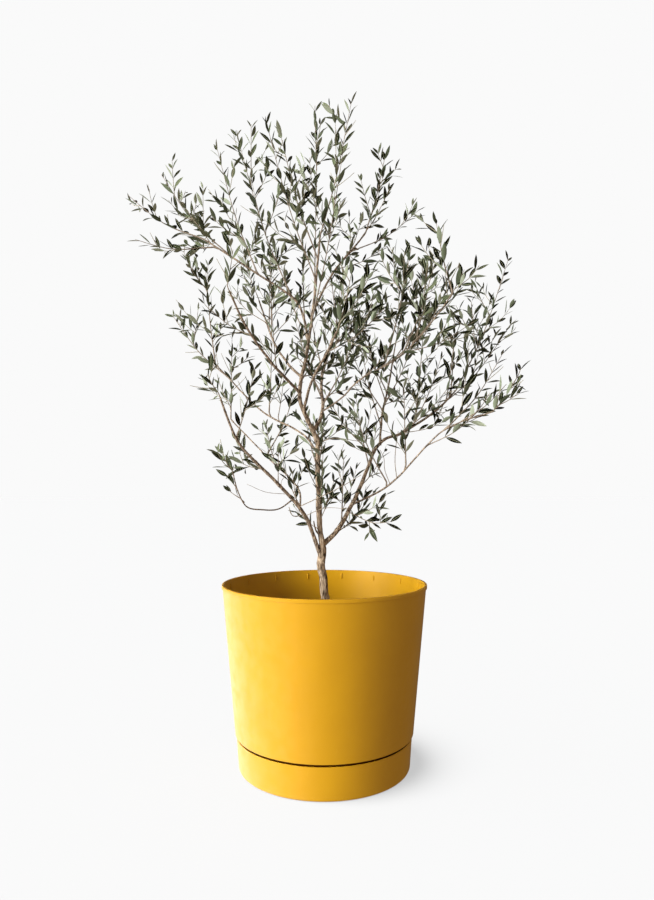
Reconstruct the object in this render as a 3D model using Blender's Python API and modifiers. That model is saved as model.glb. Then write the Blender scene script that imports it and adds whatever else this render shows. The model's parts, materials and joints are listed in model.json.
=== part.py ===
"""A potted olive tree: a slim, many-stemmed olive with an airy crown, in a round tapered planter.

Metres, +Z up. The origin is the centre of the saucer's flat underside and the front faces -Y.
The trunk, every bough and every mass of foliage is an object of its own. A limb leaves its parent
limb at a share of that limb's length; a mass is a leafy shoot that goes on from a limb, grown by a
seeded rule that keeps it to its own part of the crown.
"""

import math
import random
from typing import NamedTuple

import bmesh
import bpy
from mathutils import Matrix, Quaternion, Vector
from mathutils.kdtree import KDTree

GAP = 0.0003  # between two pieces that touch
UP = Vector((0.0, 0.0, 1.0))

# Planter and saucer
TURN_STEPS = 40
RIM_RADIUS = 0.200
RIM_HEIGHT = 0.346
LIP_HEIGHT = 0.007
LIP_STANDS_OUT = 0.0012
SEAM_HEIGHT = 0.0600  # the saucer's top edge
SEAM_OPENING = 0.0035  # the dark line between the saucer and the planter's wall
WALL_RADIUS_AT_SEAM = 0.1680
WALL = 0.0035
FLOOR = 0.0040
EDGE_ROUNDING = 0.0010  # of the rim's and the saucer's top edges
SAUCER_TOP_RADIUS = 0.1668
SAUCER_BASE_RADIUS = 0.1620
SAUCER_EDGE_ROUNDING = 0.0040
FOOT_RADIUS = 0.1560  # the stepped-in part of the planter that stands in the saucer
RIB_COUNT = 18  # short moulded ribs inside the rim
RIB_HEIGHT = 0.014
RIB_WIDTH = 0.0026
RIB_STANDS_IN = 0.0016
RIB_BELOW_RIM = 0.0095
SOIL_LEVEL = 0.2710
SOIL_MOUND = 0.0030  # how much higher the soil lies at the trunk than at the wall
MOUND_TOP_RADIUS = 0.030
MOUND_FOOT_RADIUS = 0.110
PLANTER_EDGE_ANGLE = math.radians(35)  # a sharper fold than this stays an edge

# Trunk
TRUNK_KNOTS = (
    (0.009, 0.0, SOIL_LEVEL - 0.004),
    (0.004, 0.0, 0.307),
    (-0.005, 0.0, 0.368),
    (-0.004, 0.0, 0.401),
    (-0.010, 0.0, 0.466),
    (-0.012, 0.0, 0.525),
    (-0.014, 0.0, 0.625),
)
TRUNK_RADIUS_AT_SOIL = 0.0085
TRUNK_RADIUS_AT_FORK = 0.0076
TRUNK_RADIUS_PAST_FORK = 0.0054
TRUNK_RADIUS_AT_TIP = 0.0046
FORK_SHARE = 0.40  # of the trunk's length, where its two side stems have left it
FORK_LENGTH = 0.08  # of the trunk's length, over which it thins there
FLARE = 0.0045  # what the root flare adds to the radius at the soil
FLARE_HEIGHT = 0.014
TRUNK_SIDES = 10
TRUNK_RINGS = 16
LIMB_SIDES = 6
LIMB_RING_SPACING = 0.042
BARK_EDGE_ANGLE = math.radians(50)
NEAR_FOOT = 0.020  # a limb is cut clear of each limb that passes this near its foot
CURVE_STEPS = 8  # points to each span between two knots


class Limb(NamedTuple):
    """One tapering bough: it starts on its parent's middle line and runs through the knots."""

    name: str
    parent: str
    share: float  # of the parent's length, where it leaves
    base_radius: float
    tip_radius: float
    knots: tuple


LIMBS = (
    Limb("leader", "trunk", 1.00, 0.0045, 0.0020, (
        (-0.030, -0.010, 0.660), (-0.051, -0.020, 0.716), (-0.042, 0.000, 0.766),
        (-0.033, 0.020, 0.831), (-0.022, 0.028, 0.910), (-0.010, 0.010, 1.036))),
    Limb("left_stem", "trunk", 0.35, 0.0050, 0.0022, (
        (-0.021, -0.010, 0.435), (-0.044, -0.030, 0.488), (-0.098, -0.060, 0.550),
        (-0.158, -0.100, 0.615), (-0.187, -0.130, 0.693))),
    Limb("right_bough", "trunk", 0.42, 0.0048, 0.0019, (
        (0.034, 0.020, 0.460), (0.079, 0.060, 0.546), (0.115, 0.100, 0.626),
        (0.162, 0.130, 0.648), (0.246, 0.160, 0.702), (0.291, 0.170, 0.746))),
    Limb("left_far_bough", "trunk", 0.93, 0.0027, 0.0017, (
        (-0.047, 0.020, 0.643), (-0.134, 0.080, 0.695), (-0.235, 0.130, 0.798))),
    Limb("left_inner_bough", "left_stem", 0.29, 0.0026, 0.0017, (
        (-0.054, 0.000, 0.535), (-0.110, 0.050, 0.587), (-0.199, 0.120, 0.675))),
    Limb("low_left_bough", "left_stem", 0.36, 0.0023, 0.0016, (
        (-0.103, -0.090, 0.488), (-0.135, -0.130, 0.500), (-0.149, -0.170, 0.543))),
    Limb("low_right_bough", "right_bough", 0.22, 0.0036, 0.0017, (
        (0.098, 0.010, 0.519), (0.140, -0.030, 0.550), (0.215, -0.110, 0.635),
        (0.285, -0.160, 0.662))),
    Limb("right_back_bough", "right_bough", 0.54, 0.0026, 0.0017, (
        (0.128, 0.150, 0.696), (0.147, 0.200, 0.767), (0.163, 0.240, 0.845))),
    Limb("back_stem", "leader", 0.05, 0.0038, 0.0019, (
        (-0.003, 0.030, 0.690), (-0.006, 0.080, 0.769), (0.026, 0.170, 0.900))),
    Limb("left_bough", "leader", 0.24, 0.0034, 0.0018, (
        (-0.098, -0.080, 0.766), (-0.141, -0.130, 0.823), (-0.165, -0.180, 0.874))),
    Limb("front_bough", "leader", 0.16, 0.0028, 0.0017, (
        (-0.024, -0.080, 0.732), (0.004, -0.160, 0.769), (0.021, -0.220, 0.793))),
    Limb("back_left_bough", "leader", 0.32, 0.0028, 0.0017, (
        (-0.075, 0.060, 0.790), (-0.115, 0.150, 0.860), (-0.155, 0.220, 0.972))),
    Limb("upper_left_bough", "leader", 0.52, 0.0032, 0.0018, (
        (-0.056, 0.025, 0.912), (-0.130, 0.000, 0.960), (-0.232, -0.020, 1.022))),
    Limb("upper_back_bough", "leader", 0.66, 0.0025, 0.0017, (
        (0.014, 0.070, 0.983), (0.059, 0.110, 1.052), (0.087, 0.140, 1.097))),
    Limb("right_front_bough", "back_stem", 0.18, 0.0030, 0.0018, (
        (0.033, -0.030, 0.707), (0.070, -0.080, 0.738), (0.126, -0.130, 0.762),
        (0.171, -0.170, 0.800), (0.212, -0.210, 0.853))),
)


class Mass(NamedTuple):
    """One mass of foliage: a leafy stem from a limb to the mass's furthest tip, and its twigs."""

    name: str
    limb: str
    share: float  # of the limb's length, where the stem starts; 1 is the limb's tip
    tip: tuple
    twigs: int
    twig_length: float


MASSES = (
    Mass("foliage_low_left", "low_left_bough", 1.00, (-0.180, -0.190, 0.605), 2, 0.070),
    Mass("foliage_low_left_outer", "left_stem", 0.56, (-0.182, -0.050, 0.595), 4, 0.080),
    Mass("foliage_left_stem", "left_stem", 1.00, (-0.212, -0.160, 0.745), 2, 0.080),
    Mass("foliage_left_front", "left_stem", 0.78, (-0.120, -0.150, 0.760), 4, 0.085),
    Mass("foliage_left_inner", "left_inner_bough", 1.00, (-0.215, 0.200, 0.895), 4, 0.100),
    Mass("foliage_left_middle", "left_far_bough", 0.45, (-0.110, 0.060, 0.850), 4, 0.090),
    Mass("foliage_left_column", "left_far_bough", 1.00, (-0.270, 0.150, 1.035), 4, 0.090),
    Mass("foliage_left_far", "left_far_bough", 0.85, (-0.350, 0.150, 0.930), 3, 0.070),
    Mass("foliage_left_bough", "left_bough", 1.00, (-0.155, -0.200, 0.955), 3, 0.075),
    Mass("foliage_left_bough_outer", "left_bough", 0.60, (-0.215, -0.120, 0.865), 3, 0.080),
    Mass("foliage_left_bough_inner", "left_bough", 0.30, (-0.100, -0.100, 0.900), 3, 0.085),
    Mass("foliage_back_left", "back_left_bough", 1.00, (-0.200, 0.250, 1.110), 4, 0.090),
    Mass("foliage_far_left_high", "upper_left_bough", 1.00, (-0.410, 0.000, 1.135), 4, 0.085),
    Mass("foliage_far_left_low", "upper_left_bough", 0.92, (-0.383, -0.050, 1.020), 3, 0.070),
    Mass("foliage_far_left_top", "upper_left_bough", 0.82, (-0.350, 0.040, 1.200), 5, 0.090),
    Mass("foliage_upper_left_middle", "upper_left_bough", 0.60, (-0.227, 0.015, 1.250), 5, 0.090),
    Mass("foliage_upper_left_back", "upper_left_bough", 0.32, (-0.195, 0.095, 1.315), 5, 0.095),
    Mass("foliage_top_left", "leader", 0.80, (-0.118, -0.070, 1.260), 5, 0.090),
    Mass("foliage_top_left_inner", "leader", 0.90, (-0.100, 0.040, 1.305), 4, 0.080),
    Mass("foliage_top", "leader", 1.00, (0.057, -0.020, 1.325), 5, 0.090),
    Mass("foliage_top_back", "leader", 0.70, (-0.016, 0.080, 1.330), 5, 0.090),
    Mass("foliage_top_front", "leader", 0.60, (0.038, -0.110, 1.180), 5, 0.090),
    Mass("foliage_centre", "back_stem", 0.45, (0.045, 0.000, 0.980), 6, 0.095),
    Mass("foliage_upper_right", "upper_back_bough", 1.00, (0.139, 0.110, 1.290), 4, 0.085),
    Mass("foliage_upper_back", "upper_back_bough", 0.60, (0.090, 0.220, 1.175), 4, 0.090),
    Mass("foliage_back", "back_stem", 1.00, (0.010, 0.250, 1.100), 4, 0.090),
    Mass("foliage_back_right", "back_stem", 0.72, (0.130, 0.270, 1.020), 4, 0.095),
    Mass("foliage_right_back", "right_back_bough", 1.00, (0.205, 0.260, 1.120), 4, 0.090),
    Mass("foliage_right_middle", "right_bough", 0.74, (0.222, 0.120, 0.945), 5, 0.090),
    Mass("foliage_right_high", "right_bough", 1.00, (0.422, 0.160, 1.065), 5, 0.090),
    Mass("foliage_right_far", "right_bough", 0.84, (0.448, 0.225, 0.930), 4, 0.080),
    Mass("foliage_right_front_high", "right_front_bough", 1.00, (0.194, -0.180, 1.010), 5, 0.080),
    Mass("foliage_right_front", "right_front_bough", 0.84, (0.245, -0.210, 0.915), 5, 0.080),
    Mass("foliage_right_centre", "right_front_bough", 0.52, (0.164, -0.110, 0.990), 5, 0.085),
    Mass("foliage_front", "front_bough", 1.00, (0.049, -0.240, 0.905), 4, 0.080),
    Mass("foliage_front_right", "front_bough", 0.70, (0.112, -0.190, 0.850), 5, 0.080),
    Mass("foliage_low_right_tip", "low_right_bough", 1.00, (0.340, -0.160, 0.728), 3, 0.065),
    Mass("foliage_low_right", "low_right_bough", 0.76, (0.345, -0.080, 0.800), 4, 0.080),
    Mass("foliage_low_right_inner", "low_right_bough", 0.42, (0.154, -0.040, 0.750), 4, 0.085),
    Mass("foliage_low_centre", "right_bough", 0.12, (0.036, -0.080, 0.600), 4, 0.075),
    Mass("foliage_drooping", "right_bough", 0.17, (0.134, -0.100, 0.472), 3, 0.070),
)

# Growth of a mass
STEM_RADIUS = 0.0018
TWIG_RADIUS = 0.0014
TIP_RADIUS = 0.0010
FIRST_LENGTH = 0.010  # straight foot of a stem, in line with its limb's tip
TOWARDS_TIP = 0.7  # on a limb's side the foot heads for the mass's tip by this much
TOWARDS_LIMB = 0.5  # and along the limb by this much
STEM_STEPS = 4
TWIG_STEPS = 1
STEM_SAG = 0.08  # how far a stem's middle hangs below its straight line, as a share of its length
FIRST_TWIG = 0.12  # shares of the stem's length between which the side twigs leave it
LAST_TWIG = 0.82
TWIG_SPREAD = math.radians(48)  # angle between a side twig and its stem
TWIG_RISE = 0.30  # how much a twig turns up towards the light, as a share of its length
TWIG_PLACES = (0.2, 0.8)  # where in its own stretch of the stem a twig may leave
TWIG_SPREADS = (0.8, 1.15)  # times TWIG_SPREAD
TWIG_LENGTHS = (0.75, 1.25)  # times the mass's twig length
TWIG_TURNS = 0.4  # radians either way
LENGTH_AT_FOOT = 1.30  # a twig at the stem's foot, times the mass's twig length
LENGTH_LOST = 0.75  # by the stem's tip
TWIG_THINNING = 0.25  # share of its radius the last twig has lost
TWIG_TESTS = (0.3, 0.5, 0.75, 1.0)  # shares of a twig's length where its space is tested
STEM_END_CLEAR = 0.012  # no side twig leaves this near the end of its stem
TURN_TO_NEXT_PAIR = math.radians(90)  # each pair stands square to the last
LEAF_LENGTH = 0.054
LEAF_WIDTH = 0.0135
LEAF_THICKNESS = 0.0012
LEAF_WIDEST = 0.42  # of its length from the root
LEAF_ROOT_SUNK = 0.0007  # past its twig's middle line
LEAF_STAGGER = 0.0040  # along the twig between the two leaves of a pair
LEAF_SPACING = 0.070  # along a twig, from pair to pair
LEAF_SPREAD = math.radians(38)
LEAF_SPREADS = (0.8, 1.2)  # times LEAF_SPREAD
LEAF_LENGTHS = (0.85, 1.1)  # times LEAF_LENGTH
LEAF_TURNS = 0.3  # radians either way
PAIR_PLACE = 0.62  # where in its own stretch of the twig a pair stands
LEAF_RISE = 0.15  # how much a leaf turns up towards the light
LEAF_FACES_UP = 0.6  # how much its ridged side does
END_LEAF_SUNK = 0.002  # the last leaf's root, inside its twig's end
LEAF_PAST_TWIG = 0.8  # the share of the last leaf that makes up the twig's reach
SHORTEST_TWIG = 0.2  # of its reach
LEAF_TESTS = (  # (along, across) a leaf, where its space is tested
    (0.15, 0.0), (0.3, 0.3), (0.3, -0.3), (0.45, 0.5),
    (0.45, -0.5), (0.7, 0.3), (0.7, -0.3), (1.0, 0.0),
)
LEAF_OUTER = (0.4, 0.7, 1.0)  # shares of a leaf that keep off the other leaves
SPACE_MARGIN = 0.0010  # kept clear on each side of the border between two masses
LIMB_CLEARANCE = 0.0016  # kept clear of every limb
NEAREST_LIMB_POINTS = 3
CROWDING = 0.010  # a leaf is left out where its outer part would lie this near another's
SAMPLE_STEP = 0.004  # between the points that stand for a middle line


def clear_scene():
    for item in list(bpy.data.objects):
        bpy.data.objects.remove(item, do_unlink=True)
    for group in list(bpy.data.collections):
        bpy.data.collections.remove(group)


def new_collection(name):
    group = bpy.data.collections.new(name)
    bpy.context.scene.collection.children.link(group)
    return group


def material(name, colour, roughness):
    made = bpy.data.materials.new(name)
    made.use_nodes = True
    shader = made.node_tree.nodes["Principled BSDF"]
    shader.inputs["Base Color"].default_value = (*colour, 1.0)
    shader.inputs["Roughness"].default_value = roughness
    shader.inputs["Metallic"].default_value = 0.0
    return made


def set_smooth(mesh, angle):
    mesh.shade_smooth()
    mesh.set_sharp_from_angle(angle=angle)


# ---------------------------------------------------------------- planter, saucer and soil


def turned(name, profile, collection, look):
    """A solid turned about Z from its (radius, height) profile, which runs down its outer side."""
    mesh = bpy.data.meshes.new(name)
    points = [(radius, 0.0, height) for radius, height in profile]
    mesh.from_pydata(points, [(i, i + 1) for i in range(len(points) - 1)], [])
    body = bpy.data.objects.new(name, mesh)
    collection.objects.link(body)
    screw = body.modifiers.new("Turn", "SCREW")
    screw.steps = TURN_STEPS
    screw.render_steps = TURN_STEPS
    screw.use_merge_vertices = True
    screw.merge_threshold = 0.00001
    screw.use_smooth_shade = True
    mesh.materials.append(look)
    return body


def wall_radius(height):
    """Outer radius of the planter's straight tapered wall at a height."""
    share = (height - SEAM_HEIGHT) / (RIM_HEIGHT - SEAM_HEIGHT)
    return WALL_RADIUS_AT_SEAM + share * (RIM_RADIUS - LIP_STANDS_OUT - WALL_RADIUS_AT_SEAM)


def planter_inside(height):
    """Inner radius of the planter at a height."""
    if height < SEAM_HEIGHT + SEAM_OPENING + WALL:
        return FOOT_RADIUS - WALL
    return wall_radius(height) - WALL


def build_planter(collection, look):
    bottom = FLOOR + GAP
    shoulder = SEAM_HEIGHT + SEAM_OPENING
    lip_under = RIM_HEIGHT - LIP_HEIGHT
    profile = [
        (0.0, bottom + FLOOR),
        (FOOT_RADIUS - WALL, bottom + FLOOR),
        (FOOT_RADIUS - WALL, shoulder + WALL),
        (wall_radius(shoulder + WALL) - WALL, shoulder + WALL),
        (wall_radius(RIM_HEIGHT) - WALL, RIM_HEIGHT),
        (RIM_RADIUS - EDGE_ROUNDING, RIM_HEIGHT),
        (RIM_RADIUS, RIM_HEIGHT - EDGE_ROUNDING),
        (RIM_RADIUS, lip_under + EDGE_ROUNDING),
        (wall_radius(lip_under), lip_under),
        (wall_radius(shoulder), shoulder),
        (FOOT_RADIUS, shoulder),
        (FOOT_RADIUS, bottom),
        (0.0, bottom),
    ]
    planter = turned("planter", profile, collection, look)
    ribs = new_collection("planter_ribs")
    middle = RIM_HEIGHT - RIB_BELOW_RIM - RIB_HEIGHT / 2
    taper = math.atan2(wall_radius(RIM_HEIGHT) - wall_radius(shoulder), RIM_HEIGHT - shoulder)
    for index in range(RIB_COUNT):
        # each rib stands on the middle of a facet of the wall, so that none meets an edge of it
        around = math.tau * (round(index * TURN_STEPS / RIB_COUNT) + 0.5) / TURN_STEPS
        bpy.ops.mesh.primitive_cube_add(size=1.0)
        rib = bpy.context.object
        rib.name = f"rib_{index + 1:02d}"
        inside = planter_inside(middle) * math.cos(math.pi / TURN_STEPS)
        deep = RIB_STANDS_IN + WALL / 2
        size = Matrix.Diagonal((deep, RIB_WIDTH, RIB_HEIGHT, 1.0))
        place = Matrix.Translation((inside + deep / 2 - RIB_STANDS_IN, 0.0, middle))
        rib.matrix_world = (
            Matrix.Rotation(around, 4, "Z") @ place @ Matrix.Rotation(taper, 4, "Y") @ size
        )
        for group in list(rib.users_collection):
            group.objects.unlink(rib)
        ribs.objects.link(rib)
    join_collection(planter, ribs)
    set_smooth(planter.data, PLANTER_EDGE_ANGLE)
    return planter


def build_saucer(collection, look):
    rounding = SAUCER_EDGE_ROUNDING
    lean = (SAUCER_TOP_RADIUS - SAUCER_BASE_RADIUS) / SEAM_HEIGHT
    edge = []
    for step in range(3):
        turn = math.radians(90) * step / 2
        radius = SAUCER_BASE_RADIUS - rounding * (1 - math.cos(turn)) + lean * rounding
        edge.append((radius, rounding * (1 - math.sin(turn))))
    profile = [
        (0.0, FLOOR),
        (SAUCER_BASE_RADIUS - WALL, FLOOR),
        (SAUCER_TOP_RADIUS - WALL, SEAM_HEIGHT),
        (SAUCER_TOP_RADIUS - EDGE_ROUNDING, SEAM_HEIGHT),
        (SAUCER_TOP_RADIUS, SEAM_HEIGHT - EDGE_ROUNDING),
        *edge,
        (0.0, 0.0),
    ]
    return turned("saucer", profile, collection, look)


def build_soil(collection, look):
    step = SEAM_HEIGHT + SEAM_OPENING + WALL + GAP
    bottom = 2 * FLOOR + 2 * GAP
    profile = [
        (0.0, SOIL_LEVEL + SOIL_MOUND),
        (MOUND_TOP_RADIUS, SOIL_LEVEL + SOIL_MOUND),
        (MOUND_FOOT_RADIUS, SOIL_LEVEL),
        (planter_inside(SOIL_LEVEL) - GAP, SOIL_LEVEL),
        (planter_inside(step) - GAP, step),
        (FOOT_RADIUS - WALL - GAP, step),
        (FOOT_RADIUS - WALL - GAP, bottom),
        (0.0, bottom),
    ]
    return turned("potting_soil", profile, collection, look)


# ---------------------------------------------------------------- middle lines


def smooth_path(knots):
    """Points of a Catmull-Rom curve through the knots."""
    knots = [Vector(knot) for knot in knots]
    ends = [2 * knots[0] - knots[1], *knots, 2 * knots[-1] - knots[-2]]
    path = [knots[0].copy()]
    for before, start, end, after in zip(ends, ends[1:], ends[2:], ends[3:]):
        for step in range(1, CURVE_STEPS + 1):
            t = step / CURVE_STEPS
            path.append(0.5 * (
                2 * start + (end - before) * t
                + (2 * before - 5 * start + 4 * end - after) * t * t
                + (3 * start - before - 3 * end + after) * t * t * t))
    return path


def lengths_along(path):
    total = [0.0]
    for a, b in zip(path, path[1:]):
        total.append(total[-1] + (b - a).length)
    return total


def point_along(path, share):
    """The point and the direction at a share of the path's length."""
    total = lengths_along(path)
    wanted = share * total[-1]
    for i in range(len(path) - 1):
        if wanted <= total[i + 1] or i == len(path) - 2:
            span = path[i + 1] - path[i]
            t = (wanted - total[i]) / max(total[i + 1] - total[i], 1e-9)
            return path[i] + span * t, span.normalized()
    raise ValueError("a path needs two points")


def evenly(path, count):
    """The path as `count` equal lengths."""
    return [point_along(path, i / count)[0] for i in range(count + 1)]


def samples(path):
    total = lengths_along(path)[-1]
    return evenly(path, max(2, round(total / SAMPLE_STEP)))


def trunk_radius(share, length):
    """Radius of the trunk: a root flare, and thinner past the fork where the side stems leave."""
    past = min(max((share - FORK_SHARE) / FORK_LENGTH, 0.0), 1.0)
    past = past * past * (3 - 2 * past)
    low = TRUNK_RADIUS_AT_SOIL + (TRUNK_RADIUS_AT_FORK - TRUNK_RADIUS_AT_SOIL) * share / FORK_SHARE
    rest = max(share - FORK_SHARE, 0.0) / (1 - FORK_SHARE)
    high = TRUNK_RADIUS_PAST_FORK + (TRUNK_RADIUS_AT_TIP - TRUNK_RADIUS_PAST_FORK) * rest
    flare = FLARE * math.exp(-share * length / FLARE_HEIGHT)
    return low * (1 - past) + high * past + flare


# ---------------------------------------------------------------- limbs


def tube(name, path, radii, sides, collection):
    """A closed tapering tube along the path, made as a bevelled curve and turned into a mesh."""
    curve = bpy.data.curves.new(name, "CURVE")
    curve.dimensions = "3D"
    curve.use_fill_caps = True
    if sides == 3:
        curve.bevel_mode = "OBJECT"
        curve.bevel_object = bpy.data.objects["three_sided_section"]
    else:
        curve.bevel_depth = 1.0
        curve.bevel_resolution = (sides - 4) // 2
    spline = curve.splines.new("POLY")
    spline.points.add(len(path) - 1)
    for point, place, radius in zip(spline.points, path, radii):
        point.co = (*place, 1.0)
        point.radius = radius
    drawn = bpy.data.objects.new(f"{name}_curve", curve)
    bpy.context.scene.collection.objects.link(drawn)
    bpy.context.view_layer.update()
    graph = bpy.context.evaluated_depsgraph_get()
    mesh = bpy.data.meshes.new_from_object(drawn.evaluated_get(graph))
    mesh.name = name
    work = bmesh.new()
    work.from_mesh(mesh)
    bmesh.ops.remove_doubles(work, verts=work.verts, dist=0.000005)
    bmesh.ops.recalc_face_normals(work, faces=work.faces)
    work.to_mesh(mesh)
    work.free()
    body = bpy.data.objects.new(name, mesh)
    body.matrix_world = drawn.matrix_world
    collection.objects.link(body)
    bpy.data.objects.remove(drawn, do_unlink=True)
    return body


def build_section(cutters):
    """The three-sided section, one metre in radius, that twigs are drawn with."""
    curve = bpy.data.curves.new("three_sided_section", "CURVE")
    curve.dimensions = "2D"
    spline = curve.splines.new("POLY")
    spline.points.add(2)
    for index, point in enumerate(spline.points):
        turn = math.tau * index / 3
        point.co = (math.cos(turn), math.sin(turn), 0.0, 1.0)
    spline.use_cyclic_u = True
    section = bpy.data.objects.new("three_sided_section", curve)
    section.hide_render = True
    section.display_type = "WIRE"
    cutters.objects.link(section)


def keep_largest(mesh):
    """Drops loose scraps and sealed hollows, so that one closed body is left."""
    work = bmesh.new()
    work.from_mesh(mesh)
    left = set(work.faces)
    islands = []
    while left:
        island = set()
        edge_of_search = [left.pop()]
        while edge_of_search:
            face = edge_of_search.pop()
            island.add(face)
            for edge in face.edges:
                for other in edge.link_faces:
                    if other in left:
                        left.discard(other)
                        edge_of_search.append(other)
        islands.append(island)
    islands.sort(key=len)
    for island in islands[:-1]:
        bmesh.ops.delete(work, geom=list(island), context="FACES")
    work.to_mesh(mesh)
    work.free()


def apply_modifiers(body):
    bpy.context.view_layer.update()
    graph = bpy.context.evaluated_depsgraph_get()
    mesh = bpy.data.meshes.new_from_object(body.evaluated_get(graph))
    old = body.data
    mesh.name = body.name
    body.modifiers.clear()
    body.data = mesh
    bpy.data.meshes.remove(old)


def join_collection(body, pieces):
    """Joins a collection's closed pieces to the body, then removes them."""
    join = body.modifiers.new("Join", "BOOLEAN")
    join.operation = "UNION"
    join.operand_type = "COLLECTION"
    join.collection = pieces
    join.solver = "EXACT"
    apply_modifiers(body)
    keep_largest(body.data)
    for piece in list(pieces.objects):
        bpy.data.objects.remove(piece, do_unlink=True)
    bpy.data.collections.remove(pieces)


def cut_clear(body, cutters):
    """Cuts the body back to GAP from every limb whose enlarged copy is given."""
    for cutter in cutters:
        cut = body.modifiers.new(f"Clear_{cutter.name}"[:60], "BOOLEAN")
        cut.operation = "DIFFERENCE"
        cut.object = cutter
        cut.solver = "EXACT"
    apply_modifiers(body)
    keep_largest(body.data)


def cut_level(mesh, height):
    """Cuts everything below a height off a closed mesh and closes it with a flat face."""
    work = bmesh.new()
    work.from_mesh(mesh)
    geometry = [*work.verts, *work.edges, *work.faces]
    bmesh.ops.bisect_plane(
        work, geom=geometry, plane_co=(0.0, 0.0, height), plane_no=UP, clear_inner=True)
    bmesh.ops.holes_fill(work, edges=[edge for edge in work.edges if edge.is_boundary])
    bmesh.ops.recalc_face_normals(work, faces=work.faces)
    work.to_mesh(mesh)
    work.free()


def enlarged(name, path, radii, sides, cutters):
    """The limb's shape grown by GAP all round, which cuts what meets it."""
    ends = list(path)
    ends[0] = path[0] - (path[1] - path[0]).normalized() * GAP
    ends[-1] = path[-1] + (path[-1] - path[-2]).normalized() * GAP
    grown = [radius + GAP / math.cos(math.pi / sides) for radius in radii]
    cutter = tube(f"clear_of_{name}", ends, grown, sides, cutters)
    cutter.hide_render = True
    cutter.display_type = "WIRE"
    return cutter


def build_limbs(collection, cutters, bark):
    """The trunk and its boughs. Returns each one's path, radii and cutter by name."""
    paths = {}
    radii = {}
    cuts = {}
    trunk_path = evenly(smooth_path(TRUNK_KNOTS), TRUNK_RINGS)
    length = lengths_along(trunk_path)[-1]
    paths["trunk"] = trunk_path
    radii["trunk"] = [trunk_radius(i / TRUNK_RINGS, length) for i in range(TRUNK_RINGS + 1)]
    trunk = tube("trunk", trunk_path, radii["trunk"], TRUNK_SIDES, collection)
    cut_level(trunk.data, SOIL_LEVEL + SOIL_MOUND + GAP)
    cuts["trunk"] = enlarged("trunk", trunk_path, radii["trunk"], TRUNK_SIDES, cutters)
    for limb in LIMBS:
        start, along = point_along(paths[limb.parent], limb.share)
        if limb.share == 1.0:
            start = start + along * GAP
        path = smooth_path((start, *limb.knots))
        count = max(4, round(lengths_along(path)[-1] / LIMB_RING_SPACING))
        path = evenly(path, count)
        taper = limb.tip_radius - limb.base_radius
        paths[limb.name] = path
        radii[limb.name] = [limb.base_radius + taper * i / count for i in range(count + 1)]
        body = tube(limb.name, path, radii[limb.name], LIMB_SIDES, collection)
        near = [cuts[other] for other in near_start(paths, limb.name)]
        cut_clear(body, near)
        cuts[limb.name] = enlarged(limb.name, path, radii[limb.name], LIMB_SIDES, cutters)
    for name in paths:
        body = bpy.data.objects[name]
        set_smooth(body.data, BARK_EDGE_ANGLE)
        body.data.materials.append(bark)
    return paths, radii, cuts


def near_start(paths, name):
    """The limbs made before this one that pass within reach of its foot."""
    foot = paths[name][0]
    near = []
    for other, path in paths.items():
        if other != name and min((point - foot).length for point in samples(path)) < NEAR_FOOT:
            near.append(other)
    return near


# ---------------------------------------------------------------- masses of foliage


def tree_of(points):
    tree = KDTree(len(points))
    for index, point in enumerate(points):
        tree.insert(point, index)
    tree.balance()
    return tree


def stem_path(mass, paths):
    """Middle line of a mass's stem: from its limb, a little hung, rising to the furthest tip."""
    start, along = point_along(paths[mass.limb], mass.share)
    tip = Vector(mass.tip)
    if mass.share == 1.0:
        start = start + along * GAP
        first = along
    else:
        first = (tip - start).normalized() * TOWARDS_TIP + along * TOWARDS_LIMB
        first.normalize()
    second = start + first * FIRST_LENGTH
    middle = (second + tip) / 2 - UP * STEM_SAG * (tip - second).length
    return [start, *smooth_path((second, middle, tip))]


def side_direction(along, turn, spread):
    """A direction at the angle `spread` from `along`, turned by `turn` about it."""
    side = along.cross(UP)
    if side.length < 0.1:
        side = along.cross(Vector((1.0, 0.0, 0.0)))
    side.normalize()
    side = Quaternion(along, turn) @ side
    return (along * math.cos(spread) + side * math.sin(spread)).normalized()


def short_of_leaf(path):
    """The share of a reach that is twig: the rest is the leaf at its end."""
    total = lengths_along(path)[-1]
    return max(1.0 - LEAF_PAST_TWIG * LEAF_LENGTH / total, SHORTEST_TWIG)


def side_twigs(mass, stem):
    """Middle lines of the side twigs, by a rule seeded with the mass's name."""
    chance = random.Random(f"{mass.name} twigs")
    twigs = []
    turn = chance.uniform(0.0, math.tau)
    for index in range(mass.twigs):
        place = (index + chance.uniform(*TWIG_PLACES)) / mass.twigs
        share = FIRST_TWIG + (LAST_TWIG - FIRST_TWIG) * place
        foot, along = point_along(stem, share)
        turn += math.pi + (TURN_TO_NEXT_PAIR if index % 2 == 0 else 0.0)
        turn += chance.uniform(-TWIG_TURNS, TWIG_TURNS)
        heading = side_direction(along, turn, TWIG_SPREAD * chance.uniform(*TWIG_SPREADS))
        length = mass.twig_length * chance.uniform(*TWIG_LENGTHS)
        length *= LENGTH_AT_FOOT - LENGTH_LOST * share
        middle = foot + heading * length * 0.5 + UP * length * TWIG_RISE * 0.2
        tip = foot + heading * length * 0.9 + UP * length * TWIG_RISE
        twigs.append(smooth_path((foot, middle, tip)))
    return twigs


class Space:
    """The part of the crown that one mass keeps to."""

    def __init__(self, name, stems, limb_tree, limb_radii):
        self.own = tree_of(samples(stems[name]))
        others = [p for other, stem in stems.items() if other != name for p in samples(stem)]
        self.others = tree_of(others)
        self.limb_tree = limb_tree
        self.limb_radii = limb_radii

    def holds(self, point):
        own = self.own.find(point)[2]
        if own + 2 * SPACE_MARGIN > self.others.find(point)[2]:
            return False
        for _, index, distance in self.limb_tree.find_n(point, NEAREST_LIMB_POINTS):
            if distance < self.limb_radii[index] + LIMB_CLEARANCE:
                return False
        return True


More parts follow.
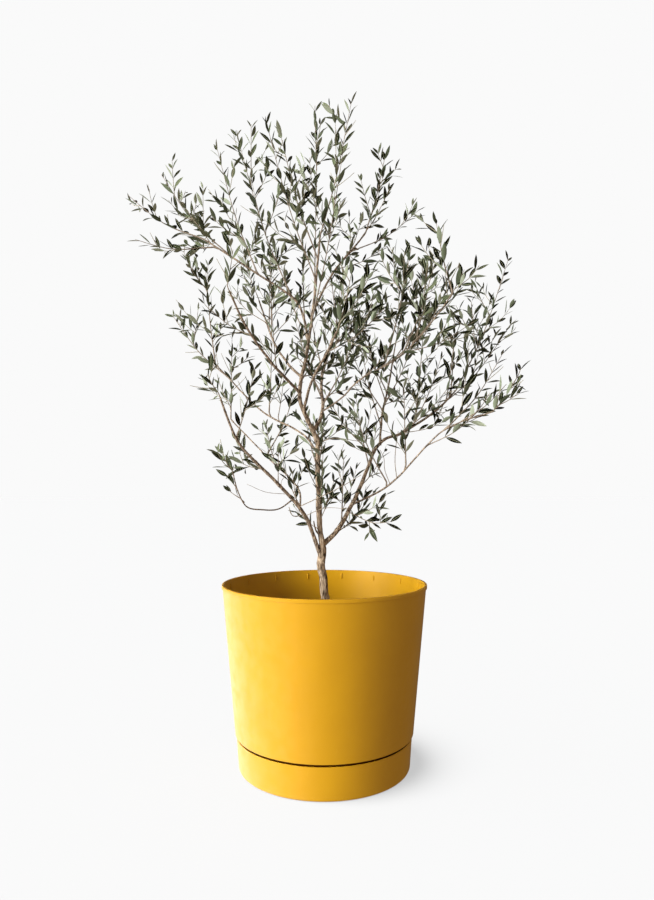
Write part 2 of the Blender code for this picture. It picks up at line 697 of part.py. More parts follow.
def leaf_matrix(root, heading, facing, length):
    """Places the unit leaf: its length along `heading`, its ridged side towards `facing`."""
    across = heading.cross(facing).normalized()
    face = across.cross(heading).normalized()
    turn = Matrix((across, face, heading)).transposed().to_4x4()
    size = Matrix.Diagonal((LEAF_WIDTH * length / LEAF_LENGTH, LEAF_THICKNESS, length, 1.0))
    return Matrix.Translation(root - heading * LEAF_ROOT_SUNK) @ turn @ size


def leaves_on(twig, chance):
    """Pairs of leaves along a twig, each pair square to the last, and one leaf at its end."""
    length = lengths_along(twig)[-1]
    pairs = max(1, round(length / LEAF_SPACING))
    turn = chance.uniform(0.0, math.pi)
    for index in range(pairs):
        foot, along = point_along(twig, (index + PAIR_PLACE) / pairs)
        turn += TURN_TO_NEXT_PAIR + chance.uniform(-LEAF_TURNS, LEAF_TURNS)
        for side in (0, 1):
            spread = LEAF_SPREAD * chance.uniform(*LEAF_SPREADS)
            heading = side_direction(along, turn + math.pi * side, spread)
            heading = (heading + UP * LEAF_RISE).normalized()
            facing = (along + UP * LEAF_FACES_UP).normalized()
            root = foot + along * LEAF_STAGGER * side
            yield root, heading, facing, LEAF_LENGTH * chance.uniform(*LEAF_LENGTHS)
    tip, along = point_along(twig, 1.0)
    across = side_direction(along, turn, math.pi / 2)
    yield tip - along * END_LEAF_SUNK, along, across, LEAF_LENGTH


def leaf_points(matrix):
    """Points round a placed leaf at which its space is tested, all but its sunk root."""
    for along, across in LEAF_TESTS:
        yield matrix @ Vector((across, 0.0, along))


def unit_leaf():
    """A pointed blade one unit long (Z), wide (X) and thick (Y), flat below and ridged above."""
    mesh = bpy.data.meshes.new("leaf")
    work = bmesh.new()
    outer = 1 - LEAF_WIDEST
    bmesh.ops.create_cone(
        work, cap_ends=True, segments=3, radius1=1 / math.sqrt(3), radius2=0.0, depth=outer)
    bmesh.ops.remove_doubles(work, verts=work.verts, dist=0.0001)
    bmesh.ops.translate(work, verts=work.verts, vec=(0.0, 0.0, LEAF_WIDEST + outer / 2))
    cap = min(work.faces, key=lambda face: face.normal.z)
    bmesh.ops.poke(work, faces=[cap], offset=LEAF_WIDEST)
    work.to_mesh(mesh)
    work.free()
    return mesh


def radii_for(path, base, tip):
    return [base + (tip - base) * i / (len(path) - 1) for i in range(len(path))]


def build_mass(mass, stems, cuts, space, leaf, collection, look):
    """One mass: its stem, the side twigs and leaves that keep to its space, all joined."""
    pieces = new_collection(f"{mass.name}_pieces")
    stem_end = short_of_leaf(stems[mass.name])
    first = FIRST_LENGTH / lengths_along(stems[mass.name])[-1]
    shares = [0.0] + [first + (stem_end - first) * i / STEM_STEPS for i in range(STEM_STEPS + 1)]
    stem = [point_along(stems[mass.name], share)[0] for share in shares]
    body = tube(mass.name, stem, radii_for(stem, STEM_RADIUS, TIP_RADIUS), 3, collection)
    if mass.share < 1.0:
        cut_clear(body, [cuts[mass.limb]])
    drawn = [stem]
    for index, path in enumerate(side_twigs(mass, stems[mass.name])):
        held = short_of_leaf(path)
        if not all(space.holds(point_along(path, held * share)[0]) for share in TWIG_TESTS):
            continue
        twig = [point_along(path, held * i / TWIG_STEPS)[0] for i in range(TWIG_STEPS + 1)]
        if (twig[0] - stem[-1]).length < STEM_END_CLEAR:
            continue
        base = TWIG_RADIUS * (1.0 - TWIG_THINNING * index / mass.twigs)
        tube(f"{mass.name}_twig_{index}", twig, radii_for(twig, base, TIP_RADIUS), 3, pieces)
        drawn.append(twig)
    chance = random.Random(f"{mass.name} leaves")
    placed = []
    for path in drawn:
        for root, heading, facing, length in leaves_on(path, chance):
            matrix = leaf_matrix(root, heading, facing, length)
            if not all(space.holds(point) for point in leaf_points(matrix)):
                continue
            outer = [matrix @ Vector((0.0, 0.0, share)) for share in LEAF_OUTER]
            if any((a - b).length < CROWDING for a in outer for b in placed):
                continue
            placed += outer
            blade = bpy.data.objects.new(f"{mass.name}_leaf", leaf)
            blade.matrix_world = matrix
            pieces.objects.link(blade)
    join_collection(body, pieces)
    body.data.materials.clear()
    body.data.materials.append(look)


def build_masses(paths, radii, cuts, collection, look):
    stems = {mass.name: stem_path(mass, paths) for mass in MASSES}
    limb_points = []
    limb_radii = []
    for name, path in paths.items():
        for point in samples(path):
            limb_points.append(point)
            limb_radii.append(max(radii[name]))
    limb_tree = tree_of(limb_points)
    leaf = unit_leaf()
    for mass in MASSES:
        space = Space(mass.name, stems, limb_tree, limb_radii)
        build_mass(mass, stems, cuts, space, leaf, collection, look)
    bpy.data.meshes.remove(leaf)


def main():
    clear_scene()
    parts = new_collection("potted_olive_tree")
    cutters = new_collection("cutters")
    plastic = material("planter_yellow", (0.800, 0.390, 0.040), 0.45)
    saucer_plastic = material("saucer_yellow", (0.800, 0.390, 0.040), 0.45)
    soil = material("potting_soil", (0.045, 0.030, 0.020), 0.95)
    bark = material("olive_bark", (0.330, 0.270, 0.220), 0.85)
    foliage = material("olive_leaf", (0.150, 0.170, 0.110), 0.60)
    build_planter(parts, plastic)
    build_saucer(parts, saucer_plastic)
    build_soil(parts, soil)
    build_section(cutters)
    paths, radii, cuts = build_limbs(parts, cutters, bark)
    build_masses(paths, radii, cuts, parts, foliage)


main()
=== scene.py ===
"""A potted olive tree, dressed: planter, saucer, soil, bark, twigs and leaves of their real size.

Metres, +Z up, in the frame of the part. The limbs, the masses and the rule of growth are the part's own, but
for the low left bough's knots, and are carried on here to further shoots, finer twigs and real leaves.
"""

import json
import math
import random
from typing import NamedTuple

import bpy
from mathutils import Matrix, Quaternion, Vector, noise
from mathutils.kdtree import KDTree

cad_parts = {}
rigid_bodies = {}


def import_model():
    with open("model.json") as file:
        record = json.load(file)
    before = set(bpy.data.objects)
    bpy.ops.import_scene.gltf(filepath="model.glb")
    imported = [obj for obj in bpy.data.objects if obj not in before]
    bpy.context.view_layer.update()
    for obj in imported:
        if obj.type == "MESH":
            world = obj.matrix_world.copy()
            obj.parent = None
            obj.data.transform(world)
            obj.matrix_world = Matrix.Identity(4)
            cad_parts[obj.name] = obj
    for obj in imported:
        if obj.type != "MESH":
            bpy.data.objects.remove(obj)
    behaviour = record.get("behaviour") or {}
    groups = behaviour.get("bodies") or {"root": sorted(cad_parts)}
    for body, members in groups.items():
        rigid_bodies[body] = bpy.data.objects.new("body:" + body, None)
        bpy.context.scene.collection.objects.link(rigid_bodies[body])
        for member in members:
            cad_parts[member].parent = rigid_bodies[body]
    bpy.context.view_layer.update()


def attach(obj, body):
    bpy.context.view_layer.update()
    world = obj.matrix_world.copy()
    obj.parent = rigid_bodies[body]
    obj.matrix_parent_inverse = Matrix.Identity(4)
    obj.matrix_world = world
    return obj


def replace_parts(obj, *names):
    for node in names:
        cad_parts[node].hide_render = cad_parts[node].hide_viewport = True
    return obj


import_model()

GAP = 0.0003
UP = Vector((0.0, 0.0, 1.0))

# Planter and saucer
RIM_RADIUS = 0.200
RIM_HEIGHT = 0.346
LIP_HEIGHT = 0.007
LIP_STANDS_OUT = 0.0012
SEAM_HEIGHT = 0.0600  # the saucer's top edge
# The dark line is partly the gap's real shade and partly painted shade on the faces behind it.
SEAM_OPENING = 0.0045  # the dark line between the saucer and the planter's wall
WALL_RADIUS_AT_SEAM = 0.1712
WALL = 0.0035
FLOOR = 0.0040
SAUCER_TOP_RADIUS = 0.1690
SAUCER_BASE_RADIUS = 0.1645
SAUCER_LIP = 0.0022
SAUCER_EDGE_ROUNDING = 0.0052
FOOT_RADIUS = 0.1560  # the stepped-in part of the planter that stands in the saucer
RIB_COUNT = 16  # short moulded ribs inside the rim
RIB_HEIGHT = 0.014
RIB_WIDTH = 0.0040
RIB_STANDS_IN = 0.0028
RIB_BELOW_RIM = 0.0060
RIB_GRID = 9  # points along and across a rib's face
SOIL_LEVEL = 0.2710
SOIL_MOUND = 0.0030  # how much higher the soil lies at the trunk than at the wall
MOUND_TOP_RADIUS = 0.030
MOUND_FOOT_RADIUS = 0.110
SOIL_WAVES = ((38, 0.0026), (130, 0.0016), (420, 0.0007))  # how close together, and how high
SOIL_RINGS = 60
CRUMBS = 900
CRUMB_SIZES = (0.0012, 0.0036)
CLOD_SIZES = (0.004, 0.006)
CRUMB_SHARES = (0.70, 0.24, 0.06)  # of soil crumbs, bark chips and pumice
BARE_RADIUS = 0.014  # no crumb lies this near the trunk's middle

# Trunk
TRUNK_KNOTS = (
    (0.009, 0.0, SOIL_LEVEL - 0.004),
    (0.004, 0.0, 0.307),
    (-0.005, 0.0, 0.368),
    (-0.004, 0.0, 0.401),
    (-0.010, 0.0, 0.466),
    (-0.012, 0.0, 0.525),
    (-0.014, 0.0, 0.625),
)
TRUNK_RADIUS_AT_SOIL = 0.0085
TRUNK_RADIUS_AT_FORK = 0.0076
TRUNK_RADIUS_PAST_FORK = 0.0054
TRUNK_RADIUS_AT_TIP = 0.0046
FORK_SHARE = 0.40  # of the trunk's length, where its two side stems have left it
FORK_LENGTH = 0.08  # of the trunk's length, over which it thins there
FLARE = 0.0045  # what the root flare adds to the radius at the soil
FLARE_HEIGHT = 0.014
TRUNK_RINGS = 16
LIMB_RING_SPACING = 0.042
CURVE_STEPS = 8  # points to each span between two knots


class Limb(NamedTuple):
    """One tapering bough: it starts on its parent's middle line and runs through the knots."""

    name: str
    parent: str
    share: float  # of the parent's length, where it leaves
    base_radius: float
    tip_radius: float
    knots: tuple


LIMBS = (
    Limb("leader", "trunk", 1.00, 0.0045, 0.0020, (
        (-0.030, -0.010, 0.660), (-0.051, -0.020, 0.716), (-0.042, 0.000, 0.766),
        (-0.033, 0.020, 0.831), (-0.022, 0.028, 0.910), (-0.010, 0.010, 1.036))),
    Limb("left_stem", "trunk", 0.35, 0.0050, 0.0022, (
        (-0.021, -0.010, 0.435), (-0.044, -0.030, 0.488), (-0.098, -0.060, 0.550),
        (-0.158, -0.100, 0.615), (-0.187, -0.130, 0.693))),
    Limb("right_bough", "trunk", 0.42, 0.0048, 0.0019, (
        (0.034, 0.020, 0.460), (0.079, 0.060, 0.546), (0.115, 0.100, 0.626),
        (0.162, 0.130, 0.648), (0.246, 0.160, 0.702), (0.291, 0.170, 0.746))),
    Limb("left_far_bough", "trunk", 0.93, 0.0027, 0.0017, (
        (-0.047, 0.020, 0.643), (-0.134, 0.080, 0.695), (-0.235, 0.130, 0.798))),
    Limb("left_inner_bough", "left_stem", 0.29, 0.0026, 0.0017, (
        (-0.054, 0.000, 0.535), (-0.110, 0.050, 0.587), (-0.199, 0.120, 0.675))),
    Limb("low_left_bough", "left_stem", 0.36, 0.0023, 0.0016, (
        (-0.071, -0.047, 0.498), (-0.084, -0.058, 0.4925), (-0.107, -0.079, 0.491), (-0.132, -0.104, 0.4945),
        (-0.141, -0.118, 0.499), (-0.147, -0.130, 0.511), (-0.153, -0.144, 0.527), (-0.157, -0.166, 0.553))),
    Limb("low_right_bough", "right_bough", 0.22, 0.0036, 0.0017, (
        (0.098, 0.010, 0.519), (0.140, -0.030, 0.550), (0.215, -0.110, 0.635),
        (0.285, -0.160, 0.662))),
    Limb("right_back_bough", "right_bough", 0.54, 0.0026, 0.0017, (
        (0.128, 0.150, 0.696), (0.147, 0.200, 0.767), (0.163, 0.240, 0.845))),
    Limb("back_stem", "leader", 0.05, 0.0038, 0.0019, (
        (-0.003, 0.030, 0.690), (-0.006, 0.080, 0.769), (0.026, 0.170, 0.900))),
    Limb("left_bough", "leader", 0.24, 0.0034, 0.0018, (
        (-0.098, -0.080, 0.766), (-0.141, -0.130, 0.823), (-0.165, -0.180, 0.874))),
    Limb("front_bough", "leader", 0.16, 0.0028, 0.0017, (
        (-0.024, -0.080, 0.732), (0.004, -0.160, 0.769), (0.021, -0.220, 0.793))),
    Limb("back_left_bough", "leader", 0.32, 0.0028, 0.0017, (
        (-0.075, 0.060, 0.790), (-0.115, 0.150, 0.860), (-0.155, 0.220, 0.972))),
    Limb("upper_left_bough", "leader", 0.52, 0.0032, 0.0018, (
        (-0.056, 0.025, 0.912), (-0.130, 0.000, 0.960), (-0.232, -0.020, 1.022))),
    Limb("upper_back_bough", "leader", 0.66, 0.0025, 0.0017, (
        (0.014, 0.070, 0.983), (0.059, 0.110, 1.052), (0.087, 0.140, 1.097))),
    Limb("right_front_bough", "back_stem", 0.18, 0.0030, 0.0018, (
        (0.033, -0.030, 0.707), (0.070, -0.080, 0.738), (0.126, -0.130, 0.762),
        (0.171, -0.170, 0.800), (0.212, -0.210, 0.853))),
)


class Mass(NamedTuple):
    """One mass of foliage: a leafy stem from a limb to the mass's furthest tip, and its twigs."""

    name: str
    limb: str
    share: float  # of the limb's length, where the stem starts; 1 is the limb's tip
    tip: tuple
    twigs: int
    twig_length: float


MASSES = (
    Mass("foliage_low_left", "low_left_bough", 1.00, (-0.180, -0.190, 0.605), 2, 0.070),
    Mass("foliage_low_left_outer", "left_stem", 0.56, (-0.182, -0.050, 0.595), 4, 0.080),
    Mass("foliage_left_stem", "left_stem", 1.00, (-0.212, -0.160, 0.745), 2, 0.080),
    Mass("foliage_left_front", "left_stem", 0.78, (-0.120, -0.150, 0.760), 4, 0.085),
    Mass("foliage_left_inner", "left_inner_bough", 1.00, (-0.215, 0.200, 0.895), 4, 0.100),
    Mass("foliage_left_middle", "left_far_bough", 0.45, (-0.110, 0.060, 0.850), 4, 0.090),
    Mass("foliage_left_column", "left_far_bough", 1.00, (-0.270, 0.150, 1.035), 4, 0.090),
    Mass("foliage_left_far", "left_far_bough", 0.85, (-0.350, 0.150, 0.930), 3, 0.070),
    Mass("foliage_left_bough", "left_bough", 1.00, (-0.155, -0.200, 0.955), 3, 0.075),
    Mass("foliage_left_bough_outer", "left_bough", 0.60, (-0.215, -0.120, 0.865), 3, 0.080),
    Mass("foliage_left_bough_inner", "left_bough", 0.30, (-0.100, -0.100, 0.900), 3, 0.085),
    Mass("foliage_back_left", "back_left_bough", 1.00, (-0.200, 0.250, 1.110), 4, 0.090),
    Mass("foliage_far_left_high", "upper_left_bough", 1.00, (-0.410, 0.000, 1.135), 4, 0.085),
    Mass("foliage_far_left_low", "upper_left_bough", 0.92, (-0.383, -0.050, 1.020), 3, 0.070),
    Mass("foliage_far_left_top", "upper_left_bough", 0.82, (-0.350, 0.040, 1.200), 5, 0.090),
    Mass("foliage_upper_left_middle", "upper_left_bough", 0.60, (-0.227, 0.015, 1.250), 5, 0.090),
    Mass("foliage_upper_left_back", "upper_left_bough", 0.32, (-0.195, 0.095, 1.315), 5, 0.095),
    Mass("foliage_top_left", "leader", 0.80, (-0.118, -0.070, 1.260), 5, 0.090),
    Mass("foliage_top_left_inner", "leader", 0.90, (-0.100, 0.040, 1.305), 4, 0.080),
    Mass("foliage_top", "leader", 1.00, (0.057, -0.020, 1.325), 5, 0.090),
    Mass("foliage_top_back", "leader", 0.70, (-0.016, 0.080, 1.330), 5, 0.090),
    Mass("foliage_top_front", "leader", 0.60, (0.038, -0.110, 1.180), 5, 0.090),
    Mass("foliage_centre", "back_stem", 0.45, (0.045, 0.000, 0.980), 6, 0.095),
    Mass("foliage_upper_right", "upper_back_bough", 1.00, (0.139, 0.110, 1.290), 4, 0.085),
    Mass("foliage_upper_back", "upper_back_bough", 0.60, (0.090, 0.220, 1.175), 4, 0.090),
    Mass("foliage_back", "back_stem", 1.00, (0.010, 0.250, 1.100), 4, 0.090),
    Mass("foliage_back_right", "back_stem", 0.72, (0.130, 0.270, 1.020), 4, 0.095),
    Mass("foliage_right_back", "right_back_bough", 1.00, (0.205, 0.260, 1.120), 4, 0.090),
    Mass("foliage_right_middle", "right_bough", 0.74, (0.222, 0.120, 0.945), 5, 0.090),
    Mass("foliage_right_high", "right_bough", 1.00, (0.422, 0.160, 1.065), 5, 0.090),
    Mass("foliage_right_far", "right_bough", 0.84, (0.448, 0.225, 0.930), 4, 0.080),
    Mass("foliage_right_front_high", "right_front_bough", 1.00, (0.194, -0.180, 1.010), 5, 0.080),
    Mass("foliage_right_front", "right_front_bough", 0.84, (0.245, -0.210, 0.915), 5, 0.080),
    Mass("foliage_right_centre", "right_front_bough", 0.52, (0.164, -0.110, 0.990), 5, 0.085),
    Mass("foliage_front", "front_bough", 1.00, (0.049, -0.240, 0.905), 4, 0.080),
    Mass("foliage_front_right", "front_bough", 0.70, (0.112, -0.190, 0.850), 5, 0.080),
    Mass("foliage_low_right_tip", "low_right_bough", 1.00, (0.340, -0.160, 0.728), 3, 0.065),
    Mass("foliage_low_right", "low_right_bough", 0.76, (0.345, -0.080, 0.800), 4, 0.080),
    Mass("foliage_low_right_inner", "low_right_bough", 0.42, (0.154, -0.040, 0.750), 4, 0.085),
    Mass("foliage_low_centre", "right_bough", 0.12, (0.036, -0.080, 0.600), 4, 0.075),
    Mass("foliage_drooping", "right_bough", 0.17, (0.134, -0.100, 0.472), 3, 0.070),
)

# Further shoots: the limb or mass each leaves, the share of that line in hundredths, its tip in mm, and its
# side twigs. A row seeds its shoot, and a shoot grows around those before it, so the order of the rows and
# the one -0.0 shape the crown.
# SEARCHED_SHOOTS and BARE_TWIGS weren't chosen by hand. They are the output of a search outside this script,
# which fitted the crown's cover to the photo's. CHOSEN_SHOOTS were picked one by one.
SEARCHED_SHOOTS = (
    ("right_back_bough", 17, 72, 79, 856, 2), ("back_stem", 25, 69, 133, 822, 2),
    ("right_front_bough", 65, 202, -150, 947, 2), ("right_bough", 41, 68, 156, 746, 2),
    ("right_bough", 97, 282, 93, 911, 2), ("leader", 50, -96, 72, 1017, 2),
    ("right_bough", 65, 296, 130, 783, 2), ("leader", 28, -0.0, 111, 886, 2),
    ("trunk", 69, -21, 80, 686, 2), ("left_inner_bough", 55, -59, 151, 767, 2),
    ("back_stem", 59, 113, 237, 865, 2), ("foliage_right_high", 35, 297, 189, 964, 1),
    ("right_bough", 46, -12, 142, 763, 2), ("trunk", 47, -3, 79, 629, 2),
    ("upper_left_bough", 13, -50, 130, 1051, 2), ("right_back_bough", 56, 74, 188, 927, 2),
    ("back_stem", 30, -51, 120, 853, 2), ("right_front_bough", 72, 201, -107, 944, 2),
    ("right_bough", 94, 277, 70, 870, 2), ("back_left_bough", 70, -126, 187, 1086, 2),
    ("upper_back_bough", 72, 222, 136, 1164, 2), ("foliage_right_high", 30, 335, 178, 970, 1),
    ("left_inner_bough", 42, -138, 203, 689, 2), ("low_right_bough", 26, 47, -81, 703, 2),
    ("right_back_bough", 40, 206, 113, 884, 2), ("upper_left_bough", 97, -270, 72, 1119, 1),
    ("back_left_bough", 76, -232, 226, 1007, 2), ("back_stem", 22, 79, 3, 885, 2),
    ("right_bough", 73, 260, 116, 832, 2), ("foliage_right_centre", 57, 101, -54, 1001, 1),
    ("back_stem", 25, -61, -16, 874, 2), ("foliage_left_column", 72, -320, 123, 1069, 1),
    ("trunk", 82, 0, 136, 699, 2), ("right_front_bough", 74, 173, -241, 916, 2),
    ("left_stem", 20, -97, 24, 620, 2), ("foliage_far_left_top", 46, -283, 113, 1168, 1),
    ("right_back_bough", 47, 88, 159, 899, 2), ("foliage_right_high", 38, 336, 220, 961, 1),
    ("right_bough", 65, 296, 106, 698, 1), ("right_back_bough", 90, 249, 233, 996, 2),
    ("foliage_upper_left_back", 65, -150, -4, 1289, 1), ("left_far_bough", 37, -84, 87, 798, 1),
    ("leader", 31, 41, 111, 820, 2), ("back_left_bough", 63, -120, 126, 1058, 2),
    ("foliage_upper_left_back", 38, -90, 68, 1192, 1), ("foliage_right_high", 55, 351, 222, 1025, 1),
    ("upper_back_bough", 91, 147, 87, 1194, 1), ("foliage_top_back", 72, -20, -6, 1327, 1),
    ("back_stem", 76, 128, 211, 975, 2), ("right_back_bough", 41, 212, 250, 783, 1),
    ("foliage_right_middle", 80, 183, 98, 1005, 1), ("right_front_bough", 64, 270, -184, 827, 2),
    ("right_bough", 84, 278, 276, 743, 1), ("foliage_left_far", 53, -290, 184, 955, 1),
    ("back_left_bough", 81, -197, 201, 1013, 1), ("foliage_upper_left_back", 17, -115, 104, 1086, 1),
    ("trunk", 42, 115, 96, 536, 2), ("right_back_bough", 34, 51, 169, 863, 2),
    ("back_stem", 51, -37, 113, 953, 2), ("foliage_upper_right", 22, 77, 110, 1225, 0),
    ("upper_back_bough", 47, 138, 97, 1061, 1), ("foliage_far_left_top", 17, -294, -19, 1117, 1),
    ("back_stem", 73, 91, 144, 953, 1), ("foliage_top", 76, 2, -3, 1325, 0),
    ("low_right_bough", 77, 306, -119, 679, 0), ("right_bough", 29, 134, 112, 620, 1),
    ("foliage_right_middle", 79, 264, 78, 985, 1), ("trunk", 82, -46, 102, 711, 2),
    ("foliage_left_column", 73, -302, 78, 1030, 0), ("right_bough", 42, 113, 76, 685, 0),
    ("right_back_bough", 90, 260, 256, 933, 2), ("back_left_bough", 78, -82, 269, 1021, 1),
    ("foliage_left_inner", 56, -169, 204, 846, 0), ("foliage_back_right", 23, 86, 173, 995, 1),
    ("foliage_right_back", 51, 157, 246, 1110, 1), ("trunk", 96, 54, -8, 677, 0),
    ("leader", 38, -72, 79, 841, 0), ("foliage_low_right_tip", 72, 357, -139, 757, 0),
    ("foliage_left_inner", 14, -243, 147, 789, 0), ("right_back_bough", 48, 169, 239, 767, 0),
    ("foliage_top_front", 50, -24, -101, 1063, 0), ("trunk", 49, -68, 59, 500, 0),
    ("foliage_upper_left_middle", 25, -240, 7, 1095, 0),
)
CHOSEN_SHOOTS = (
    ("trunk", 60, -3, -50, 581, 0), ("trunk", 71, -42, -56, 602, 0), ("left_stem", 31, -62, -70, 577, 0),
    ("trunk", 54, 22, -45, 560, 0), ("trunk", 84, 0, -58, 660, 0), ("left_stem", 46, -85, -95, 620, 1),
    ("low_left_bough", 82, -176, -158, 566, 0), ("low_left_bough", 66, -182, -132, 541, 0),
    ("right_front_bough", 52, 166, -184, 806, 0), ("right_front_bough", 72, 200, -226, 852, 0),
    ("right_front_bough", 36, 120, -150, 790, 0), ("low_right_bough", 60, 288, -147, 682, 0),
    ("low_right_bough", 84, 329, -165, 724, 0), ("low_right_bough", 74, 262, -122, 686, 0),
    ("low_right_bough", 90, 300, -150, 712, 0), ("foliage_low_right_tip", 22, 346, -176, 706, 0),
)
SHOOTS = [(line, share / 100, (x / 1000, y / 1000, z / 1000), twigs)
          for line, share, x, y, z, twigs in (*SEARCHED_SHOOTS, *CHOSEN_SHOOTS)]

BARE_TWIGS = {  # side twigs of a mass that have shed their leaves, from the search
    "foliage_low_left": (1,), "foliage_low_left_outer": (3,), "foliage_left_stem": (0,),
    "foliage_left_front": (0, 2, 3), "foliage_left_inner": (1, 2), "foliage_left_middle": (1,),
    "foliage_left_column": (2,), "foliage_left_far": (0, 1), "foliage_left_bough": (0, 1),
    "foliage_back_left": (2,), "foliage_far_left_high": (0, 1), "foliage_far_left_low": (0, 2),
    "foliage_upper_left_middle": (4,), "foliage_upper_left_back": (2,), "foliage_top_left": (4,),
    "foliage_top": (1, 3, 4), "foliage_top_front": (0, 1, 3, 4), "foliage_back": (1, 2, 3),
    "foliage_right_far": (0,), "foliage_right_front_high": (0, 3), "foliage_right_front": (4,),
    "foliage_low_right_tip": (0,), "foliage_low_right": (2, 3), "foliage_low_centre": (3,),
}

THIN_TWIGS = (  # bare twigs that show in the photo: limb, share of its length, radius, knots
    ("low_right_bough", 0.29, 0.0007,
     ((0.118, -0.022, 0.567), (0.116, -0.028, 0.590), (0.108, -0.030, 0.606))),
    ("low_right_bough", 0.35, 0.0009,
     ((0.138, -0.023, 0.582), (0.141, -0.013, 0.614), (0.146, -0.011, 0.644))),
    ("trunk", 0.99, 0.0008,
     ((0.019, -0.012, 0.630), (0.050, -0.020, 0.626), (0.074, -0.024, 0.620), (0.083, -0.026, 0.602))),
    ("right_bough", 0.23, 0.0007, ((0.044, 0.029, 0.530), (0.027, 0.019, 0.572), (0.039, 0.014, 0.620))),
    ("left_stem", 0.31, 0.0009, ((-0.012, -0.068, 0.513), (0.031, -0.088, 0.534), (0.068, -0.093, 0.556))),
    ("left_stem", 0.25, 0.0007, ((0.001, -0.065, 0.494), (0.044, -0.080, 0.493))),
    ("left_stem", 0.40, 0.0006, ((-0.111, -0.057, 0.524), (-0.146, -0.065, 0.539))),
    ("left_stem", 0.26, 0.0012,
     ((-0.057, -0.033, 0.477), (-0.064, -0.037, 0.482), (-0.068, -0.039, 0.495))),
    ("trunk", 0.47, 0.0018, ((-0.017, -0.010, 0.449), (-0.021, -0.016, 0.467))),
    ("left_stem", 0.37, 0.0006,
     ((-0.078, -0.035, 0.528), (-0.084, -0.031, 0.543), (-0.073, -0.027, 0.559))),
)

# Meshes
SLIMMER = {  # shares of the part's thicknesses
    "left_stem": 0.84,
    "low_left_bough": 0.60, "left_inner_bough": 0.70, "left_far_bough": 0.75, "right_front_bough": 0.52,
    "upper_left_bough": 0.82, "low_right_bough": 0.58, "left_bough": 0.88}
ROUND_STEPS = 224
SOIL_STEPS = 120
POT_EDGE_ANGLE = math.radians(35)  # a sharper fold than this stays an edge
SOIL_EDGE_ANGLE = math.radians(50)
EDGE_ANGLE = math.radians(60)

# Bark. A pair is for the trunk and for a bough.
BARK_SIDES = (20, 14)
BARK_STEPS = (0.0022, 0.0026)  # between two rings
BARK_ROUGHNESS = (0.16, 0.13)  # of the radius
FLUTES = (1.3, 26.0)  # how close together, around a limb and along it, as of the grain
GRAIN = (3.2, 110.0)
COLLAR = 0.45  # how much wider a bough is where it leaves its parent
COLLAR_LENGTH = 1.8  # of the bough's radius
KNOT_LENGTH = 0.0022
KNOT_WIDTH = 0.55  # radians
KNOT_REACH = 0.008
KNOT_ENDS = 0.006  # a limb's last stretch, without knots
WAVES = 28  # how close together a limb's small bends are
WAVE_SHARE = 0.45  # of the radius

# Colours, linear
PLASTIC = (0.574, 0.303, 0.006)
PLASTIC_DEEP = (0.552, 0.288, 0.006)
PLASTIC_RUBBED = (0.594, 0.325, 0.014)
# Painted shade: a dark plastic tint for the planter's stepped-in foot and the saucer's inside, where the gap
# lies in shade.
PLASTIC_PAINTED_SHADE = (0.130, 0.038, 0.002)
BARK_CRACK = (0.050, 0.032, 0.019)
BARK_OLD = (0.275, 0.205, 0.136)
BARK_PALE = (0.560, 0.450, 0.320)
YOUNG_DARK = (0.070, 0.052, 0.038)
YOUNG_BARK = (0.240, 0.192, 0.146)
YOUNG_PALE = (0.480, 0.388, 0.285)
SOIL_BLACK = (0.018, 0.013, 0.010)
SOIL_DARK = (0.040, 0.028, 0.020)
SOIL_BROWN = (0.090, 0.060, 0.040)
CHIP = (0.170, 0.105, 0.062)
PUMICE_DARK = (0.30, 0.28, 0.25)
PUMICE = (0.52, 0.50, 0.46)
# Leaf tints, dark to pale, for tops and undersides: partly the leaves' own spread, partly painted shade, as
# the darker ones go mostly to sprays on the right and low down.
TOP_TINTS = (
    (0.004, 0.005, 0.002), (0.008, 0.010, 0.004), (0.014, 0.018, 0.008),
    (0.031, 0.040, 0.019), (0.064, 0.081, 0.042), (0.124, 0.151, 0.084))
UNDER_TINTS = ((0.065, 0.081, 0.046), (0.131, 0.159, 0.099), (0.232, 0.273, 0.186), (0.360, 0.410, 0.300))
TOP_GLOSS = (0.02, 0.02, 0.03, 0.05, 0.09, 0.14)
RIB_TINT = (0.250, 0.260, 0.160)
STEM_TINT = (0.265, 0.218, 0.168)
TWIG_TINT = (0.270, 0.222, 0.165)
SHOOT_TINT = (0.330, 0.305, 0.222)

# Studio
BACKDROP = (0.956, 0.956, 0.956)
FLOOR_ALBEDO = 0.05
FLOOR_TINT = (0.982, 0.993, 1.0)
FLOOR_GLOW = 0.5574
FLOOR_SUN = 33.5
SKY_TINT = (1.0, 0.80, 0.66)
SKY_LOW = 0.43
SKY_HIGH = 0.50
SOFTBOX_GLOSS = 5.8  # how bright the softbox on the left is in reflections
BACKDROP_GLOSS = 0.25
KEY_AZIMUTH = 56
KEY_ELEVATION = 12
KEY_STRENGTH = 5.3
KEY_SOFTNESS = 38
FLOOR_AZIMUTH = 67  # of the floor's own light
FLOOR_ELEVATION = 46
FLOOR_SOFTNESS = 56
FLOOR_REACH = 30  # metres each way
SKY_HEIGHTS = (-0.4, 0.9)  # directions from -1 to 1, between which the sky's lights come on
SOFTBOX_SIDES = (-0.05, -0.68)
SOFTBOX_HEIGHTS = (0.10, -0.30)
BACKDROP_DEPTHS = (0.50, 0.95)
LENS = 26.42  # mm
SENSOR = 36.0  # mm
CAMERA_PLACE = (0.005, -1.314, 0.534)
CAMERA_RISE = 0.0557  # radians above level

